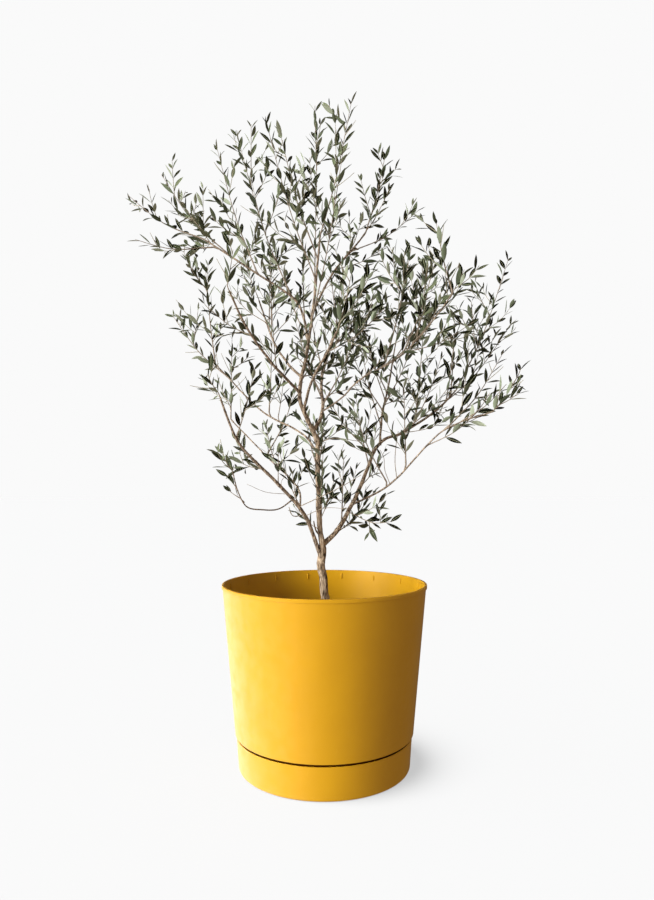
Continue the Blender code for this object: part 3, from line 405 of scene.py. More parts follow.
# Growth, as in the part
FIRST_LENGTH = 0.010
TOWARDS_TIP = 0.7
TOWARDS_LIMB = 0.5
STEM_SAG = 0.08
FIRST_TWIG = 0.12
LAST_TWIG = 0.82
TWIG_SPREAD = math.radians(48)
TWIG_RISE = 0.30
TWIG_PLACES = (0.2, 0.8)
TWIG_SPREADS = (0.8, 1.15)
TWIG_LENGTHS = (0.75, 1.25)
TWIG_TURNS = 0.4
LENGTH_AT_FOOT = 1.30
LENGTH_LOST = 0.75
TURN_TO_NEXT_PAIR = math.radians(90)
SAMPLE_STEP = 0.004

# Growth carried on: finer twigs, and leaves of their real size
SHOOT_TWIG_LENGTH = 0.065
STEM_RADIUS = 0.0016
TWIG_RADIUS = 0.0011
SHOOT_RADIUS = 0.0008
TIP_RADIUS = 0.00045
LONG_STEM = 0.15  # a longer one is as thick as a stem
TWIG_STEP = 0.0055
SWELLING = 1.18  # of a twig where leaves stand
BARE_SHARE = 0.45  # of its length that a shed side twig keeps
BARE_STEMS = {"mass": 0.20, "shoot on a mass": 0.15, "shoot on a limb": 0.35}  # shares without leaves
FIRST_LEAF = 0.012  # along a side twig
LIMB_CLEARANCE = 0.0012
LEAF_CROWDING = 0.0065
LIGHT_SIDE = Vector((-0.20, -0.34, 0.0))
LEAF_LENGTH = 0.0300
LEAF_LENGTHS = (0.75, 1.25)
LEAF_WIDTHS = (0.20, 0.30)  # of its length
LEAF_SPACING = 0.0190
LEAF_SPACINGS = (0.8, 1.25)
LEAF_SPREAD = math.radians(37)
LEAF_SPREADS = (0.75, 1.3)
LEAF_TURN = 0.3  # radians, either way
PAIR_TURN = 0.25  # radians, either way
LEAF_RISE = 0.16  # the most that a leaf's heading is lifted
LEAF_FACING_UP = 0.45
LEAF_LOST = 0.10  # chance that a leaf has dropped
LEAF_ROLL = math.radians(32)
LEAF_FOLDS = (0.08, 0.42)
LEAF_BEND = (0.05, 0.06)  # middle and spread, as of the twist
LEAF_TWIST = (0.0, 0.35)
LEAF_SHIFT = 0.0012  # along the twig, either way
LEAF_TESTS = (0.3, 0.6, 1.0)  # shares of its length where its space is tested
TINT_SHIFTS = (-2, -1, 0, 0, 1, 2)
YOUNG_LENGTH = 0.055  # of a twig's end, where leaves are still small
YOUNGEST = 0.50
# Painted shade in the leaves' tints: sprays on the right and low down are dealt darker tints, as the light
# comes from the left and above.
SHADE_TO_RIGHT = 1.1  # how fast the sprays darken, for each metre
SHADE_WITH_HEIGHT = -0.50
TINT_SPREAD = 0.35  # how far a spray strays from its shade's tint


# ---------------------------------------------------------------- middle lines


def smooth_path(knots):
    """Points of a Catmull-Rom curve through the knots."""
    knots = [Vector(knot) for knot in knots]
    ends = [2 * knots[0] - knots[1], *knots, 2 * knots[-1] - knots[-2]]
    path = [knots[0].copy()]
    for before, start, end, after in zip(ends, ends[1:], ends[2:], ends[3:]):
        for step in range(1, CURVE_STEPS + 1):
            t = step / CURVE_STEPS
            path.append(0.5 * (
                2 * start + (end - before) * t
                + (2 * before - 5 * start + 4 * end - after) * t * t
                + (3 * start - before - 3 * end + after) * t * t * t))
    return path


def lengths_along(path):
    total = [0.0]
    for a, b in zip(path, path[1:]):
        total.append(total[-1] + (b - a).length)
    return total


def point_along(path, share):
    """The point and the direction at a share of the path's length."""
    total = lengths_along(path)
    wanted = share * total[-1]
    for i in range(len(path) - 1):
        if wanted <= total[i + 1] or i == len(path) - 2:
            span = path[i + 1] - path[i]
            t = (wanted - total[i]) / max(total[i + 1] - total[i], 1e-9)
            return path[i] + span * t, span.normalized()
    raise ValueError("a path needs two points")


def evenly(path, count, end=1.0):
    """The path, up to a share of its length, as `count` equal lengths."""
    return [point_along(path, end * i / count)[0] for i in range(count + 1)]


def samples(path):
    total = lengths_along(path)[-1]
    return evenly(path, max(2, round(total / SAMPLE_STEP)))


def square_to(along):
    """A direction square to `along`, level where there is one."""
    side = along.cross(UP)
    if side.length < 0.1:
        side = along.cross(Vector((1.0, 0.0, 0.0)))
    side.normalize()
    return side


def side_direction(along, turn, spread):
    """A direction at the angle `spread` from `along`, turned by `turn` about it."""
    side = Quaternion(along, turn) @ square_to(along)
    return (along * math.cos(spread) + side * math.sin(spread)).normalized()


def trunk_radius(share, length):
    """Radius of the trunk: a root flare, and thinner past the fork where the side stems leave."""
    past = min(max((share - FORK_SHARE) / FORK_LENGTH, 0.0), 1.0)
    past = past * past * (3 - 2 * past)
    low = TRUNK_RADIUS_AT_SOIL + (TRUNK_RADIUS_AT_FORK - TRUNK_RADIUS_AT_SOIL) * share / FORK_SHARE
    rest = max(share - FORK_SHARE, 0.0) / (1 - FORK_SHARE)
    high = TRUNK_RADIUS_PAST_FORK + (TRUNK_RADIUS_AT_TIP - TRUNK_RADIUS_PAST_FORK) * rest
    flare = FLARE * math.exp(-share * length / FLARE_HEIGHT)
    return low * (1 - past) + high * past + flare


def limb_lines():
    """Middle line and radii of the trunk and of every bough, by name."""
    paths = {}
    radii = {}
    path = evenly(smooth_path(TRUNK_KNOTS), TRUNK_RINGS)
    length = lengths_along(path)[-1]
    paths["trunk"] = path
    radii["trunk"] = [trunk_radius(i / TRUNK_RINGS, length) for i in range(TRUNK_RINGS + 1)]
    for limb in LIMBS:
        start, along = point_along(paths[limb.parent], limb.share)
        if limb.share == 1.0:
            start = start + along * GAP
        path = smooth_path((start, *limb.knots))
        count = max(4, round(lengths_along(path)[-1] / LIMB_RING_SPACING))
        path = evenly(path, count)
        taper = limb.tip_radius - limb.base_radius
        paths[limb.name] = path
        radii[limb.name] = [limb.base_radius + taper * i / count for i in range(count + 1)]
    return paths, radii


def shoot_path(start, along, tip, onward=False):
    """Middle line of a leafy shoot, a little hung: from a line's side, or onward from its end."""
    first = along
    if not onward:
        first = ((tip - start).normalized() * TOWARDS_TIP + along * TOWARDS_LIMB).normalized()
    second = start + first * FIRST_LENGTH
    middle = (second + tip) / 2 - UP * STEM_SAG * (tip - second).length
    return [start, *smooth_path((second, middle, tip))]


def stem_path(mass, paths):
    """Middle line of a mass's stem."""
    start, along = point_along(paths[mass.limb], mass.share)
    onward = mass.share == 1.0
    return shoot_path(start + along * GAP if onward else start, along, Vector(mass.tip), onward)


def side_twigs(mass, stem):
    """Middle lines of the side twigs, by a rule seeded with the mass's name."""
    chance = random.Random(f"{mass.name} twigs")
    twigs = []
    turn = chance.uniform(0.0, math.tau)
    for index in range(mass.twigs):
        place = (index + chance.uniform(*TWIG_PLACES)) / mass.twigs
        share = FIRST_TWIG + (LAST_TWIG - FIRST_TWIG) * place
        foot, along = point_along(stem, share)
        turn += math.pi + (TURN_TO_NEXT_PAIR if index % 2 == 0 else 0.0)
        turn += chance.uniform(-TWIG_TURNS, TWIG_TURNS)
        heading = side_direction(along, turn, TWIG_SPREAD * chance.uniform(*TWIG_SPREADS))
        length = mass.twig_length * chance.uniform(*TWIG_LENGTHS)
        length *= LENGTH_AT_FOOT - LENGTH_LOST * share
        middle = foot + heading * length * 0.5 + UP * length * TWIG_RISE * 0.2
        tip = foot + heading * length * 0.9 + UP * length * TWIG_RISE
        twigs.append(smooth_path((foot, middle, tip)))
    return twigs


# ---------------------------------------------------------------- meshes


class Body:
    """Points, faces and the faces' material numbers of one piece while it is made."""

    def __init__(self):
        self.points = []
        self.faces = []
        self.slots = []

    def add(self, points, faces, slots=0):
        """Adds points and faces. `slots` is one material number, or a list with each face's."""
        start = len(self.points)
        self.points.extend(points)
        self.faces.extend([[start + index for index in face] for face in faces])
        self.slots.extend(slots if isinstance(slots, list) else [slots] * len(faces))


def make_piece(name, body, looks, edge_angle=EDGE_ANGLE):
    """The finished object: it rides on the part's one body and takes its finish from a slot."""
    mesh = bpy.data.meshes.new(name)
    mesh.from_pydata(body.points, [], body.faces)
    for look in looks:
        mesh.materials.append(look)
    mesh.polygons.foreach_set("material_index", body.slots)
    mesh.shade_smooth()
    mesh.set_sharp_from_angle(angle=edge_angle)
    piece = bpy.data.objects.new(name, mesh)
    bpy.context.scene.collection.objects.link(piece)
    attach(piece, "root")
    return piece


def rounded(corners, steps=5):
    """A profile's (radius, height, rounding) corners as points, each corner turned by an arc."""
    points = []
    for index, (radius, height, rounding) in enumerate(corners):
        here = Vector((radius, height))
        if rounding <= 0.0 or index in (0, len(corners) - 1):
            points.append(here)
            continue
        before = Vector(corners[index - 1][:2]) - here
        after = Vector(corners[index + 1][:2]) - here
        half = before.angle(after) / 2
        reach = min(rounding / math.tan(half), before.length * 0.49, after.length * 0.49)
        start = here + before.normalized() * reach
        end = here + after.normalized() * reach
        for step in range(steps + 1):
            t = step / steps
            points.append(start * (1 - t) ** 2 + here * 2 * t * (1 - t) + end * t * t)
    return points


def turned(body, profile, steps, slot=0):
    """Adds the solid that the profile sweeps about Z. The profile starts and ends on the axis."""
    rings = profile[1:-1]
    points = [Vector((0.0, 0.0, profile[0][1])), Vector((0.0, 0.0, profile[-1][1]))]
    for radius, height in rings:
        for step in range(steps):
            turn = math.tau * step / steps
            points.append(Vector((radius * math.cos(turn), radius * math.sin(turn), height)))
    faces = []
    last = 2 + (len(rings) - 1) * steps
    for step in range(steps):
        after = (step + 1) % steps
        faces.append([0, 2 + step, 2 + after])
        faces.append([1, last + after, last + step])
        for ring in range(len(rings) - 1):
            low = 2 + ring * steps
            high = low + steps
            faces.append([low + step, high + step, high + after, low + after])
    body.add(points, faces, slot)


def sweep(body, path, radii, sides, slot=0, relief=None):
    """Adds a tapering round limb along the path. `relief` gives a share to add to the radius."""
    along = (path[1] - path[0]).normalized()
    side = square_to(along)
    points = []
    distance = 0.0
    for index, (place, radius) in enumerate(zip(path, radii)):
        before = path[max(index - 1, 0)]
        after = path[min(index + 1, len(path) - 1)]
        turned_to = (after - before).normalized()
        side = along.rotation_difference(turned_to) @ side
        along = turned_to
        over = along.cross(side)
        if index:
            distance += (place - path[index - 1]).length
        for step in range(sides):
            turn = math.tau * step / sides
            grown = radius * (1 + relief(distance, turn)) if relief else radius
            points.append(place + (side * math.cos(turn) + over * math.sin(turn)) * grown)
    points.append(path[0] - (path[1] - path[0]).normalized() * radii[0] * 0.5)
    points.append(path[-1] + (path[-1] - path[-2]).normalized() * radii[-1] * 0.8)
    faces = []
    last = (len(path) - 1) * sides
    for step in range(sides):
        after = (step + 1) % sides
        for ring in range(0, last, sides):
            faces.append([ring + step, ring + after, ring + sides + after, ring + sides + step])
        faces.append([len(points) - 2, after, step])
        faces.append([len(points) - 1, last + step, last + after])
    body.add(points, faces, slot)


# ---------------------------------------------------------------- materials


class Nodes:
    """The node tree of a material or of the world while it is put together."""

    def __init__(self, owner):
        owner.use_nodes = True
        self.tree = owner.node_tree

    def put(self, socket, value):
        """Links a node's output to a socket, or gives the socket a value of its own."""
        if isinstance(value, bpy.types.NodeSocket):
            self.tree.links.new(value, socket)
        elif socket.type == "RGBA":
            socket.default_value = (*value, 1.0)
        else:
            socket.default_value = value

    def add(self, kind, inputs, output=0, **settings):
        """Adds a node with its inputs and settings, and gives one of its outputs."""
        node = self.tree.nodes.new(f"ShaderNode{kind}")
        for name, value in settings.items():
            setattr(node, name, value)
        for name, value in inputs.items():
            self.put(node.inputs[name], value)
        return node.outputs[output]

    def spread(self, value, low, high, start=0.0, end=1.0):
        """A value taken from start..end to low..high."""
        return self.add("MapRange", {
            "Value": value, "From Min": start, "From Max": end, "To Min": low, "To Max": high}, "Result")


class Look(Nodes):
    """A material while it is put together around its one Principled shader."""

    def __init__(self, name, colour, roughness, specular):
        self.material = bpy.data.materials.new(name)
        super().__init__(self.material)
        self.shader = self.tree.nodes["Principled BSDF"]
        self.set("Base Color", colour)
        self.set("Roughness", roughness)
        self.set("Specular IOR Level", specular)

    def set(self, name, value):
        self.put(self.shader.inputs[name], value)

    def noise(self, size, detail=3.0, stretch=(1.0, 1.0, 1.0), distortion=0.0):
        """A noise pattern in object space whose features are `size` metres across."""
        place = self.add("TexCoord", {}, "Object")
        scaled = self.add("Mapping", {"Vector": place, "Scale": stretch}, "Vector")
        return self.add("TexNoise", {
            "Vector": scaled, "Scale": 1.0 / size, "Detail": detail, "Distortion": distortion}, "Fac")

    def spots(self, size):
        """A cell pattern in object space whose cells are `size` metres across."""
        place = self.add("TexCoord", {}, "Object")
        return self.add("TexVoronoi", {"Vector": place, "Scale": 1.0 / size}, "Distance")

    def ramp(self, value, *stops):
        """Colours for a 0 to 1 value, from (position, colour) stops."""
        colours = self.add("ValToRGB", {"Fac": value}, "Color")
        elements = colours.node.color_ramp.elements
        while len(elements) < len(stops):
            elements.new(0.5)
        for element, (position, colour) in zip(elements, stops):
            element.position = position
            element.color = (*colour, 1.0)
        return colours

    def mixed(self, share, first, second, blend="MIX"):
        return self.add("Mix", {"Factor": share, 6: first, 7: second}, 2, data_type="RGBA", blend_type=blend)

    def bumps(self, *patterns):
        """Bump from (height, depth in metres) patterns, one on another."""
        normal = {}
        for height, depth in patterns:
            inputs = {"Strength": 1.0, "Distance": depth, "Height": height, **normal}
            normal = {"Normal": self.add("Bump", inputs, "Normal")}
        self.set("Normal", normal["Normal"])


def plastic_look(name, cloud_share, colours=(PLASTIC_DEEP, PLASTIC, PLASTIC_RUBBED)):
    """Moulded matte plastic: faint cloudiness, a fine eggshell grain, and slight rubs."""
    deep, plain, rubbed = colours
    look = Look(name, plain, 0.50, 0.45)
    cloud = look.noise(0.060 * cloud_share, 2.0)
    rub = look.noise(0.011, 5.0, (1.0, 1.0, 0.35), 0.6)
    base = look.ramp(cloud, (0.30, deep), (0.70, plain))
    look.set("Base Color", look.mixed(look.spread(rub, 0.0, 0.5, 0.62, 0.80), base, rubbed))
    look.set("Roughness", look.spread(look.noise(0.018, 4.0), 0.44, 0.56, 0.3, 0.7))
    look.bumps((look.noise(0.0011, 2.0), 0.00006), (look.noise(0.030, 2.0), 0.00025))
    return look.material


def bark_look(name):
    """Thin olive bark, tan with dark streaks: even on young wood, cracked and paler-ridged on old."""
    look = Look(name, BARK_OLD, 0.82, 0.25)
    streak = look.noise(0.0030, 5.0, (1.0, 1.0, 0.22), 0.4)
    patch = look.noise(0.020, 3.0)
    old = look.ramp(streak, (0.36, BARK_CRACK), (0.48, BARK_OLD), (0.62, BARK_PALE))
    young = look.ramp(streak, (0.36, YOUNG_DARK), (0.50, YOUNG_BARK), (0.64, YOUNG_PALE))
    age = look.add("Attribute", {}, "Fac", attribute_name="age")
    base = look.mixed(look.spread(age, 0.0, 1.0, 0.32, 0.80), young, old)
    tint = look.ramp(patch, (0.35, (0.90, 0.86, 0.82)), (0.65, (1.0, 1.0, 1.0)))
    look.set("Base Color", look.mixed(0.8, base, tint, "MULTIPLY"))
    look.set("Roughness", look.spread(streak, 0.90, 0.70, 0.3, 0.7))
    look.bumps((streak, 0.0005), (look.noise(0.0009, 3.0), 0.00012))
    return look.material


def soil_look():
    look = Look("potting_mix", SOIL_DARK, 0.95, 0.2)
    grain = look.noise(0.0035, 6.0)
    damp = look.noise(0.045, 2.0)
    base = look.ramp(grain, (0.30, SOIL_BLACK), (0.52, SOIL_DARK), (0.72, SOIL_BROWN))
    look.set("Base Color", look.mixed(look.spread(damp, 0.0, 0.6, 0.35, 0.65), base, SOIL_BLACK))
    look.bumps((grain, 0.0015), (look.spots(0.0022), 0.0004))
    return look.material


def grain_look(name, dark, light):
    look = Look(name, light, 0.9, 0.2)
    grain = look.noise(0.0012, 4.0)
    look.set("Base Color", look.ramp(grain, (0.3, dark), (0.7, light)))
    look.bumps((grain, 0.0003))
    return look.material


def wood_look(name, colour):
    """Bark of a twig: one plain tint, as a joined piece keeps no pattern, and an uneven gloss."""
    look = Look(name, colour, 0.85, 0.2)
    look.set("Roughness", look.spread(look.noise(0.0012, 4.0), 0.75, 0.95, 0.3, 0.7))
    return look.material


def leaf_look(name, colour, roughness, specular, sheen=0.0):
    """One tint of leaf: its colour is plain, as each spray is dealt its tint, with painted shade by where
    the spray stands, and its gloss varies.
    """
    look = Look(name, colour, roughness, specular)
    look.set("Sheen Weight", sheen)
    look.set("Sheen Roughness", 0.5)
    gloss = look.noise(0.004, 2.0)
    look.set("Roughness", look.spread(gloss, roughness - 0.07, roughness + 0.07, 0.3, 0.7))
    return look.material


# ---------------------------------------------------------------- planter, saucer and soil


def wall_radius(height):
    """Outer radius of the planter's straight tapered wall at a height."""
    share = (height - SEAM_HEIGHT) / (RIM_HEIGHT - SEAM_HEIGHT)
    return WALL_RADIUS_AT_SEAM + share * (RIM_RADIUS - LIP_STANDS_OUT - WALL_RADIUS_AT_SEAM)


def paint_shade_in_recess(body, hidden):
    """Gives the faces whose radius and height `hidden` picks the second slot: painted shade, the tint of the
    gap above the saucer.
    """
    for index, face in enumerate(body.faces):
        centre = sum((body.points[corner] for corner in face), Vector()) / len(face)
        if hidden(math.hypot(centre.x, centre.y), centre.z):
            body.slots[index] = 1


def painted_shade_look(name):
    # Painted shade: the plastic darkened to the gap's shade, with the deep tint for its rubs.
    return plastic_look(name, 1.0, (PLASTIC_PAINTED_SHADE, PLASTIC_PAINTED_SHADE, PLASTIC_DEEP))


def add_rib(body, around):
    """One moulded rib inside the rim: a bulging face on the wall's inside, closed by a flat back."""
    out = Vector((math.cos(around), math.sin(around), 0.0))
    across = Vector((-math.sin(around), math.cos(around), 0.0))
    middle = RIM_HEIGHT - RIB_BELOW_RIM - RIB_HEIGHT / 2
    shares = [2 * index / (RIB_GRID - 1) - 1 for index in range(RIB_GRID)]
    points = []
    for share in shares:
        height = middle + share * RIB_HEIGHT / 2
        ends = math.sqrt(max(1 - share ** 6, 0.0))
        for side in shares:
            deep = RIB_STANDS_IN * ends * math.sqrt(max(1 - side ** 4, 0.0)) - WALL / 3
            radius = wall_radius(height) - WALL - deep
            points.append(out * radius + across * side * RIB_WIDTH / 2 + UP * height)
    faces = []
    for ring in range(RIB_GRID - 1):
        for column in range(RIB_GRID - 1):
            corner = ring * RIB_GRID + column
            faces.append([corner, corner + RIB_GRID, corner + RIB_GRID + 1, corner + 1])
    last = RIB_GRID * RIB_GRID
    edge = [*range(RIB_GRID), *range(2 * RIB_GRID - 1, last, RIB_GRID)]
    edge += [*range(last - 2, last - RIB_GRID - 1, -1)]
    edge += [*range(last - 2 * RIB_GRID, 0, -RIB_GRID)]
    faces.append(edge)
    body.add(points, faces)


def dress_planter():
    bottom = FLOOR + GAP
    shoulder = SEAM_HEIGHT + SEAM_OPENING
    lip_under = RIM_HEIGHT - LIP_HEIGHT
    body = Body()
    turned(body, rounded((
        (0.0, bottom + FLOOR, 0.0),
        (FOOT_RADIUS - WALL, bottom + FLOOR, 0.003),
        (FOOT_RADIUS - WALL, shoulder + WALL, 0.002),
        (wall_radius(shoulder + WALL) - WALL, shoulder + WALL, 0.004),
        (wall_radius(RIM_HEIGHT) - WALL, RIM_HEIGHT, 0.0012),
        (RIM_RADIUS, RIM_HEIGHT, 0.0016),
        (RIM_RADIUS, lip_under, 0.0009),
        (wall_radius(lip_under), lip_under, 0.0005),
        (wall_radius(shoulder), shoulder, 0.0018),
        (FOOT_RADIUS, shoulder, 0.002),
        (FOOT_RADIUS, bottom, 0.003),
        (0.0, bottom, 0.0),
    )), ROUND_STEPS)
    # Painted shade on the stepped-in foot, inside the gap above the saucer.
    paint_shade_in_recess(body, lambda radius, height: (
        FOOT_RADIUS - 0.001 < radius < wall_radius(shoulder) - 0.0018
        and bottom < height < shoulder + 0.0004))
    looks = [plastic_look("planter_plastic", 1.0), painted_shade_look("planter_recess")]
    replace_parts(make_piece("planter_shell", body, looks, POT_EDGE_ANGLE), "planter")
    ribs = Body()
    for index in range(RIB_COUNT):
        add_rib(ribs, math.tau * (index + 0.5) / RIB_COUNT)
    make_piece("planter_ribs", ribs, [plastic_look("rib_plastic", 0.8)])


def dress_saucer():
    body = Body()
    turned(body, rounded((
        (0.0, FLOOR, 0.0),
        (SAUCER_BASE_RADIUS - WALL, FLOOR, 0.003),
        (SAUCER_TOP_RADIUS - SAUCER_LIP, SEAM_HEIGHT, 0.0008),
        (SAUCER_TOP_RADIUS, SEAM_HEIGHT, 0.0012),
        (SAUCER_BASE_RADIUS, 0.0, SAUCER_EDGE_ROUNDING),
        (0.0, 0.0, 0.0),
    )), ROUND_STEPS)
    # Painted shade on the saucer's inside floor and wall, under the planter.
    paint_shade_in_recess(body, lambda radius, height: (
        height > FLOOR - 0.0004 and radius < SAUCER_BASE_RADIUS - WALL + 0.0001 + (
            SAUCER_TOP_RADIUS - SAUCER_LIP - SAUCER_BASE_RADIUS + WALL) * height / SEAM_HEIGHT))
    looks = [plastic_look("saucer_plastic", 0.9), painted_shade_look("saucer_recess")]
    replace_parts(make_piece("saucer_shell", body, looks, POT_EDGE_ANGLE), "saucer")


def soil_height(x, y):
    """Height of the soil: a low mound at the trunk, clods and hollows, level at the wall."""
    distance = math.hypot(x, y)
    mound = min(max((MOUND_FOOT_RADIUS - distance) / (MOUND_FOOT_RADIUS - MOUND_TOP_RADIUS), 0.0), 1.0)
    place = Vector((x, y, 0.0))
    clods = sum(high * noise.noise(place * close) for close, high in SOIL_WAVES)
    return SOIL_LEVEL + SOIL_MOUND * mound + clods + 0.0012


def lump(centre, size, chance, sides=6):
    """Points and faces of a rough crumb: two caps and two uneven rings."""
    points = []
    for level, share in ((-0.45, 0.80), (0.30, 0.85)):
        for side in range(sides):
            turn = math.tau * (side + 0.5 * (level > 0)) / sides
            radius = size * share * chance.uniform(0.75, 1.1)
            points.append(centre + Vector((
                radius * math.cos(turn), radius * math.sin(turn), size * level * chance.uniform(0.6, 1.0))))
    points.append(centre - UP * size * 0.6)
    points.append(centre + UP * size * chance.uniform(0.55, 0.75))
    faces = []
    for side in range(sides):
        after = (side + 1) % sides
        faces.append([side, after, sides + side])
        faces.append([after, sides + after, sides + side])
        faces.append([2 * sides, after, side])
        faces.append([2 * sides + 1, sides + side, sides + after])
    return points, faces


def dress_soil():
    inside = wall_radius(SOIL_LEVEL) - WALL - GAP
    step_height = SEAM_HEIGHT + SEAM_OPENING + WALL + GAP
    rings = [Vector((0.0, SOIL_LEVEL + SOIL_MOUND))]
    rings += [Vector((inside * (index + 1) / SOIL_RINGS, SOIL_LEVEL)) for index in range(SOIL_RINGS)]
    top = len(rings) - 1
    rings += [
        Vector((wall_radius(step_height) - WALL - GAP, step_height)),
        Vector((FOOT_RADIUS - WALL - GAP, step_height)),
        Vector((FOOT_RADIUS - WALL - GAP, 2 * FLOOR + 2 * GAP)),
        Vector((0.0, 2 * FLOOR + 2 * GAP)),
    ]
    body = Body()
    turned(body, rings, SOIL_STEPS)
    for index, point in enumerate(body.points[:2 + top * SOIL_STEPS]):
        if index != 1:
            point.z = soil_height(point.x, point.y)
    chance = random.Random("soil crumbs")
    for _ in range(CRUMBS):
        turn = chance.uniform(0.0, math.tau)
        distance = (inside - 0.004) * math.sqrt(chance.random())
        x, y = distance * math.cos(turn), distance * math.sin(turn)
        if math.hypot(x - TRUNK_KNOTS[0][0], y) < BARE_RADIUS:
            continue
        size = chance.uniform(*(CRUMB_SIZES if chance.random() < 0.9 else CLOD_SIZES))
        centre = Vector((x, y, soil_height(x, y) + size * 0.15))
        body.add(*lump(centre, size, chance), chance.choices((0, 1, 2), CRUMB_SHARES)[0])
    looks = [soil_look(), grain_look("bark_chip", SOIL_BROWN, CHIP),
             grain_look("pumice", PUMICE_DARK, PUMICE)]
    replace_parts(make_piece("soil_surface", body, looks, SOIL_EDGE_ANGLE), "potting_soil")


# ---------------------------------------------------------------- trunk and boughs


def bark_relief(name, base, knots, rough):
    """A limb's own relief: flutes along it, a fine grain, its collar and its knots."""
    shift = Vector((random.Random(name).uniform(0.0, 50.0), 0.0, 0.0))

    def pattern(distance, turn, around, along):
        place = Vector((math.cos(turn) * around, math.sin(turn) * around, distance * along))
        return noise.noise(place + shift)

    def relief(distance, turn):
        grown = rough * pattern(distance, turn, *FLUTES)
        grown += rough * 0.5 * pattern(distance, turn, *GRAIN)
        grown += COLLAR * math.exp(-distance / (COLLAR_LENGTH * base))
        for at, side, size in knots:
            if abs(distance - at) < KNOT_REACH:
                away = (turn - side + math.pi) % math.tau - math.pi
                grown += size * math.exp(-((distance - at) / KNOT_LENGTH) ** 2 - (away / KNOT_WIDTH) ** 2)
        return grown

    return relief


def limb_knots(length, chance):
    """Knots in opposite pairs, each pair square to the last: (place along, side, size)."""
    knots = []
    at = chance.uniform(0.010, 0.022)
    side = chance.uniform(0.0, math.tau)
    while at < length - KNOT_ENDS:
        knots.append((at, side % math.tau, chance.uniform(0.12, 0.30)))
        knots.append((at, (side + math.pi) % math.tau, chance.uniform(0.05, 0.26)))
        side += math.pi / 2 + chance.uniform(-0.3, 0.3)
        at += chance.uniform(0.016, 0.034)
    return knots


def dress_limbs(paths, radii):
    look = bark_look("olive_bark")
    for name, path in paths.items():
        chance = random.Random(f"{name} knots")
        kind = 0 if name == "trunk" else 1
        slim = SLIMMER.get(name, 1.0)
        coarse = radii[name]
        length = lengths_along(path)[-1]
        count = round(length / BARK_STEPS[kind])
        fine = evenly(smooth_path(path), count)
        fine_radii = []
        for index in range(count + 1):
            at = index / count * (len(coarse) - 1)
            low = min(int(at), len(coarse) - 2)
            fine_radii.append(slim * (coarse[low] + (coarse[low + 1] - coarse[low]) * (at - low)))
        waves = Vector((chance.uniform(0.0, 50.0), 0.0, 0.0))
        for index, point in enumerate(fine[2:-1], 2):
            place = waves + point * WAVES
            away = Vector((noise.noise(place), noise.noise(place + UP * 9), 0.0))
            point += away * fine_radii[index] * WAVE_SHARE
        knots = limb_knots(length, chance)
        base = 0.5 * coarse[0] if name == "trunk" else coarse[0]
        body = Body()
        relief = bark_relief(name, base, knots, BARK_ROUGHNESS[kind])
        sweep(body, fine, fine_radii, BARK_SIDES[kind], 0, relief)
        piece = make_piece(f"{name}_bark", body, [look])
        widths = [radius for radius in fine_radii for _ in range(BARK_SIDES[kind])]
        ages = [min(radius / TRUNK_RADIUS_AT_SOIL, 1.0) for radius in (*widths, fine_radii[0], coarse[-1])]
        piece.data.attributes.new("age", "FLOAT", "POINT").data.foreach_set("value", ages)
        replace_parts(piece, name)


# ---------------------------------------------------------------- twigs and leaves

LEAF_STATIONS = (  # (along the leaf, share of its half width)
    (0.00, 0.07), (0.08, 0.11), (0.22, 0.62), (0.42, 0.98), (0.62, 0.95), (0.82, 0.60), (1.00, 0.03))
RIB_HALF_WIDTH = 0.00027
LEAF_BODY = 0.00022
RIB_SLOT = len(TOP_TINTS) + len(UNDER_TINTS)


def add_leaf(body, root, heading, facing, length, width, fold, bend, twist, top, under):
    """One blade: folded along its rib, bent back, twisted, with a rib and an underside."""
    across = facing.cross(heading).normalized()
    face = heading.cross(across)
    points = []
    for along, share in LEAF_STATIONS:
        half = width / 2 * share
        rib = min(half * 0.3, RIB_HALF_WIDTH)
        rise = math.tan(fold)
        centre = root + heading * length * along - face * bend * length * along * along
        turn = twist * along
        side = across * math.cos(turn) + face * math.sin(turn)
        over = face * math.cos(turn) - across * math.sin(turn)
        points.append(centre - side * half + over * half * rise)
        points.append(centre - side * rib + over * rib * rise)
        points.append(centre + side * rib + over * rib * rise)
        points.append(centre + side * half + over * half * rise)
        points.append(centre - over * LEAF_BODY * (0.4 + share))
    faces = []
    slots = []
    for station in range(len(LEAF_STATIONS) - 1):
        low = 5 * station
        high = low + 5
        faces += [
            [low, high, high + 1, low + 1], [low + 1, high + 1, high + 2, low + 2],
            [low + 2, high + 2, high + 3, low + 3], [low, low + 4, high + 4, high],
            [low + 4, low + 3, high + 3, high + 4],
        ]
        slots += [top, RIB_SLOT, top, under, under]
    last = 5 * (len(LEAF_STATIONS) - 1)
    faces += [[0, 1, 2, 3, 4], [last + 4, last + 3, last + 2, last + 1, last]]
    body.add(points, faces, [*slots, under, under])


class Crown:
    """What the foliage grows into: the limbs to keep off, and the places already taken."""

    def __init__(self, paths, radii):
        points = []
        self.radii = []
        for name, path in paths.items():
            for point in samples(path):
                points.append(point)
                self.radii.append(max(radii[name]))
        self.limbs = KDTree(len(points))
        for index, point in enumerate(points):
            self.limbs.insert(point, index)
        self.limbs.balance()
        self.cells = {}

    def free(self, points):
        for point in points:
            _, index, distance = self.limbs.find(point)
            if distance < self.radii[index] + LIMB_CLEARANCE:
                return False
        return True

    def crowded(self, point):
        key = tuple(int(value // LEAF_CROWDING) for value in point)
        for x in (-1, 0, 1):
            for y in (-1, 0, 1):
                for z in (-1, 0, 1):
                    for other in self.cells.get((key[0] + x, key[1] + y, key[2] + z), ()):
                        if (other - point).length < LEAF_CROWDING:
                            return True
        self.cells.setdefault(key, []).append(point)
        return False


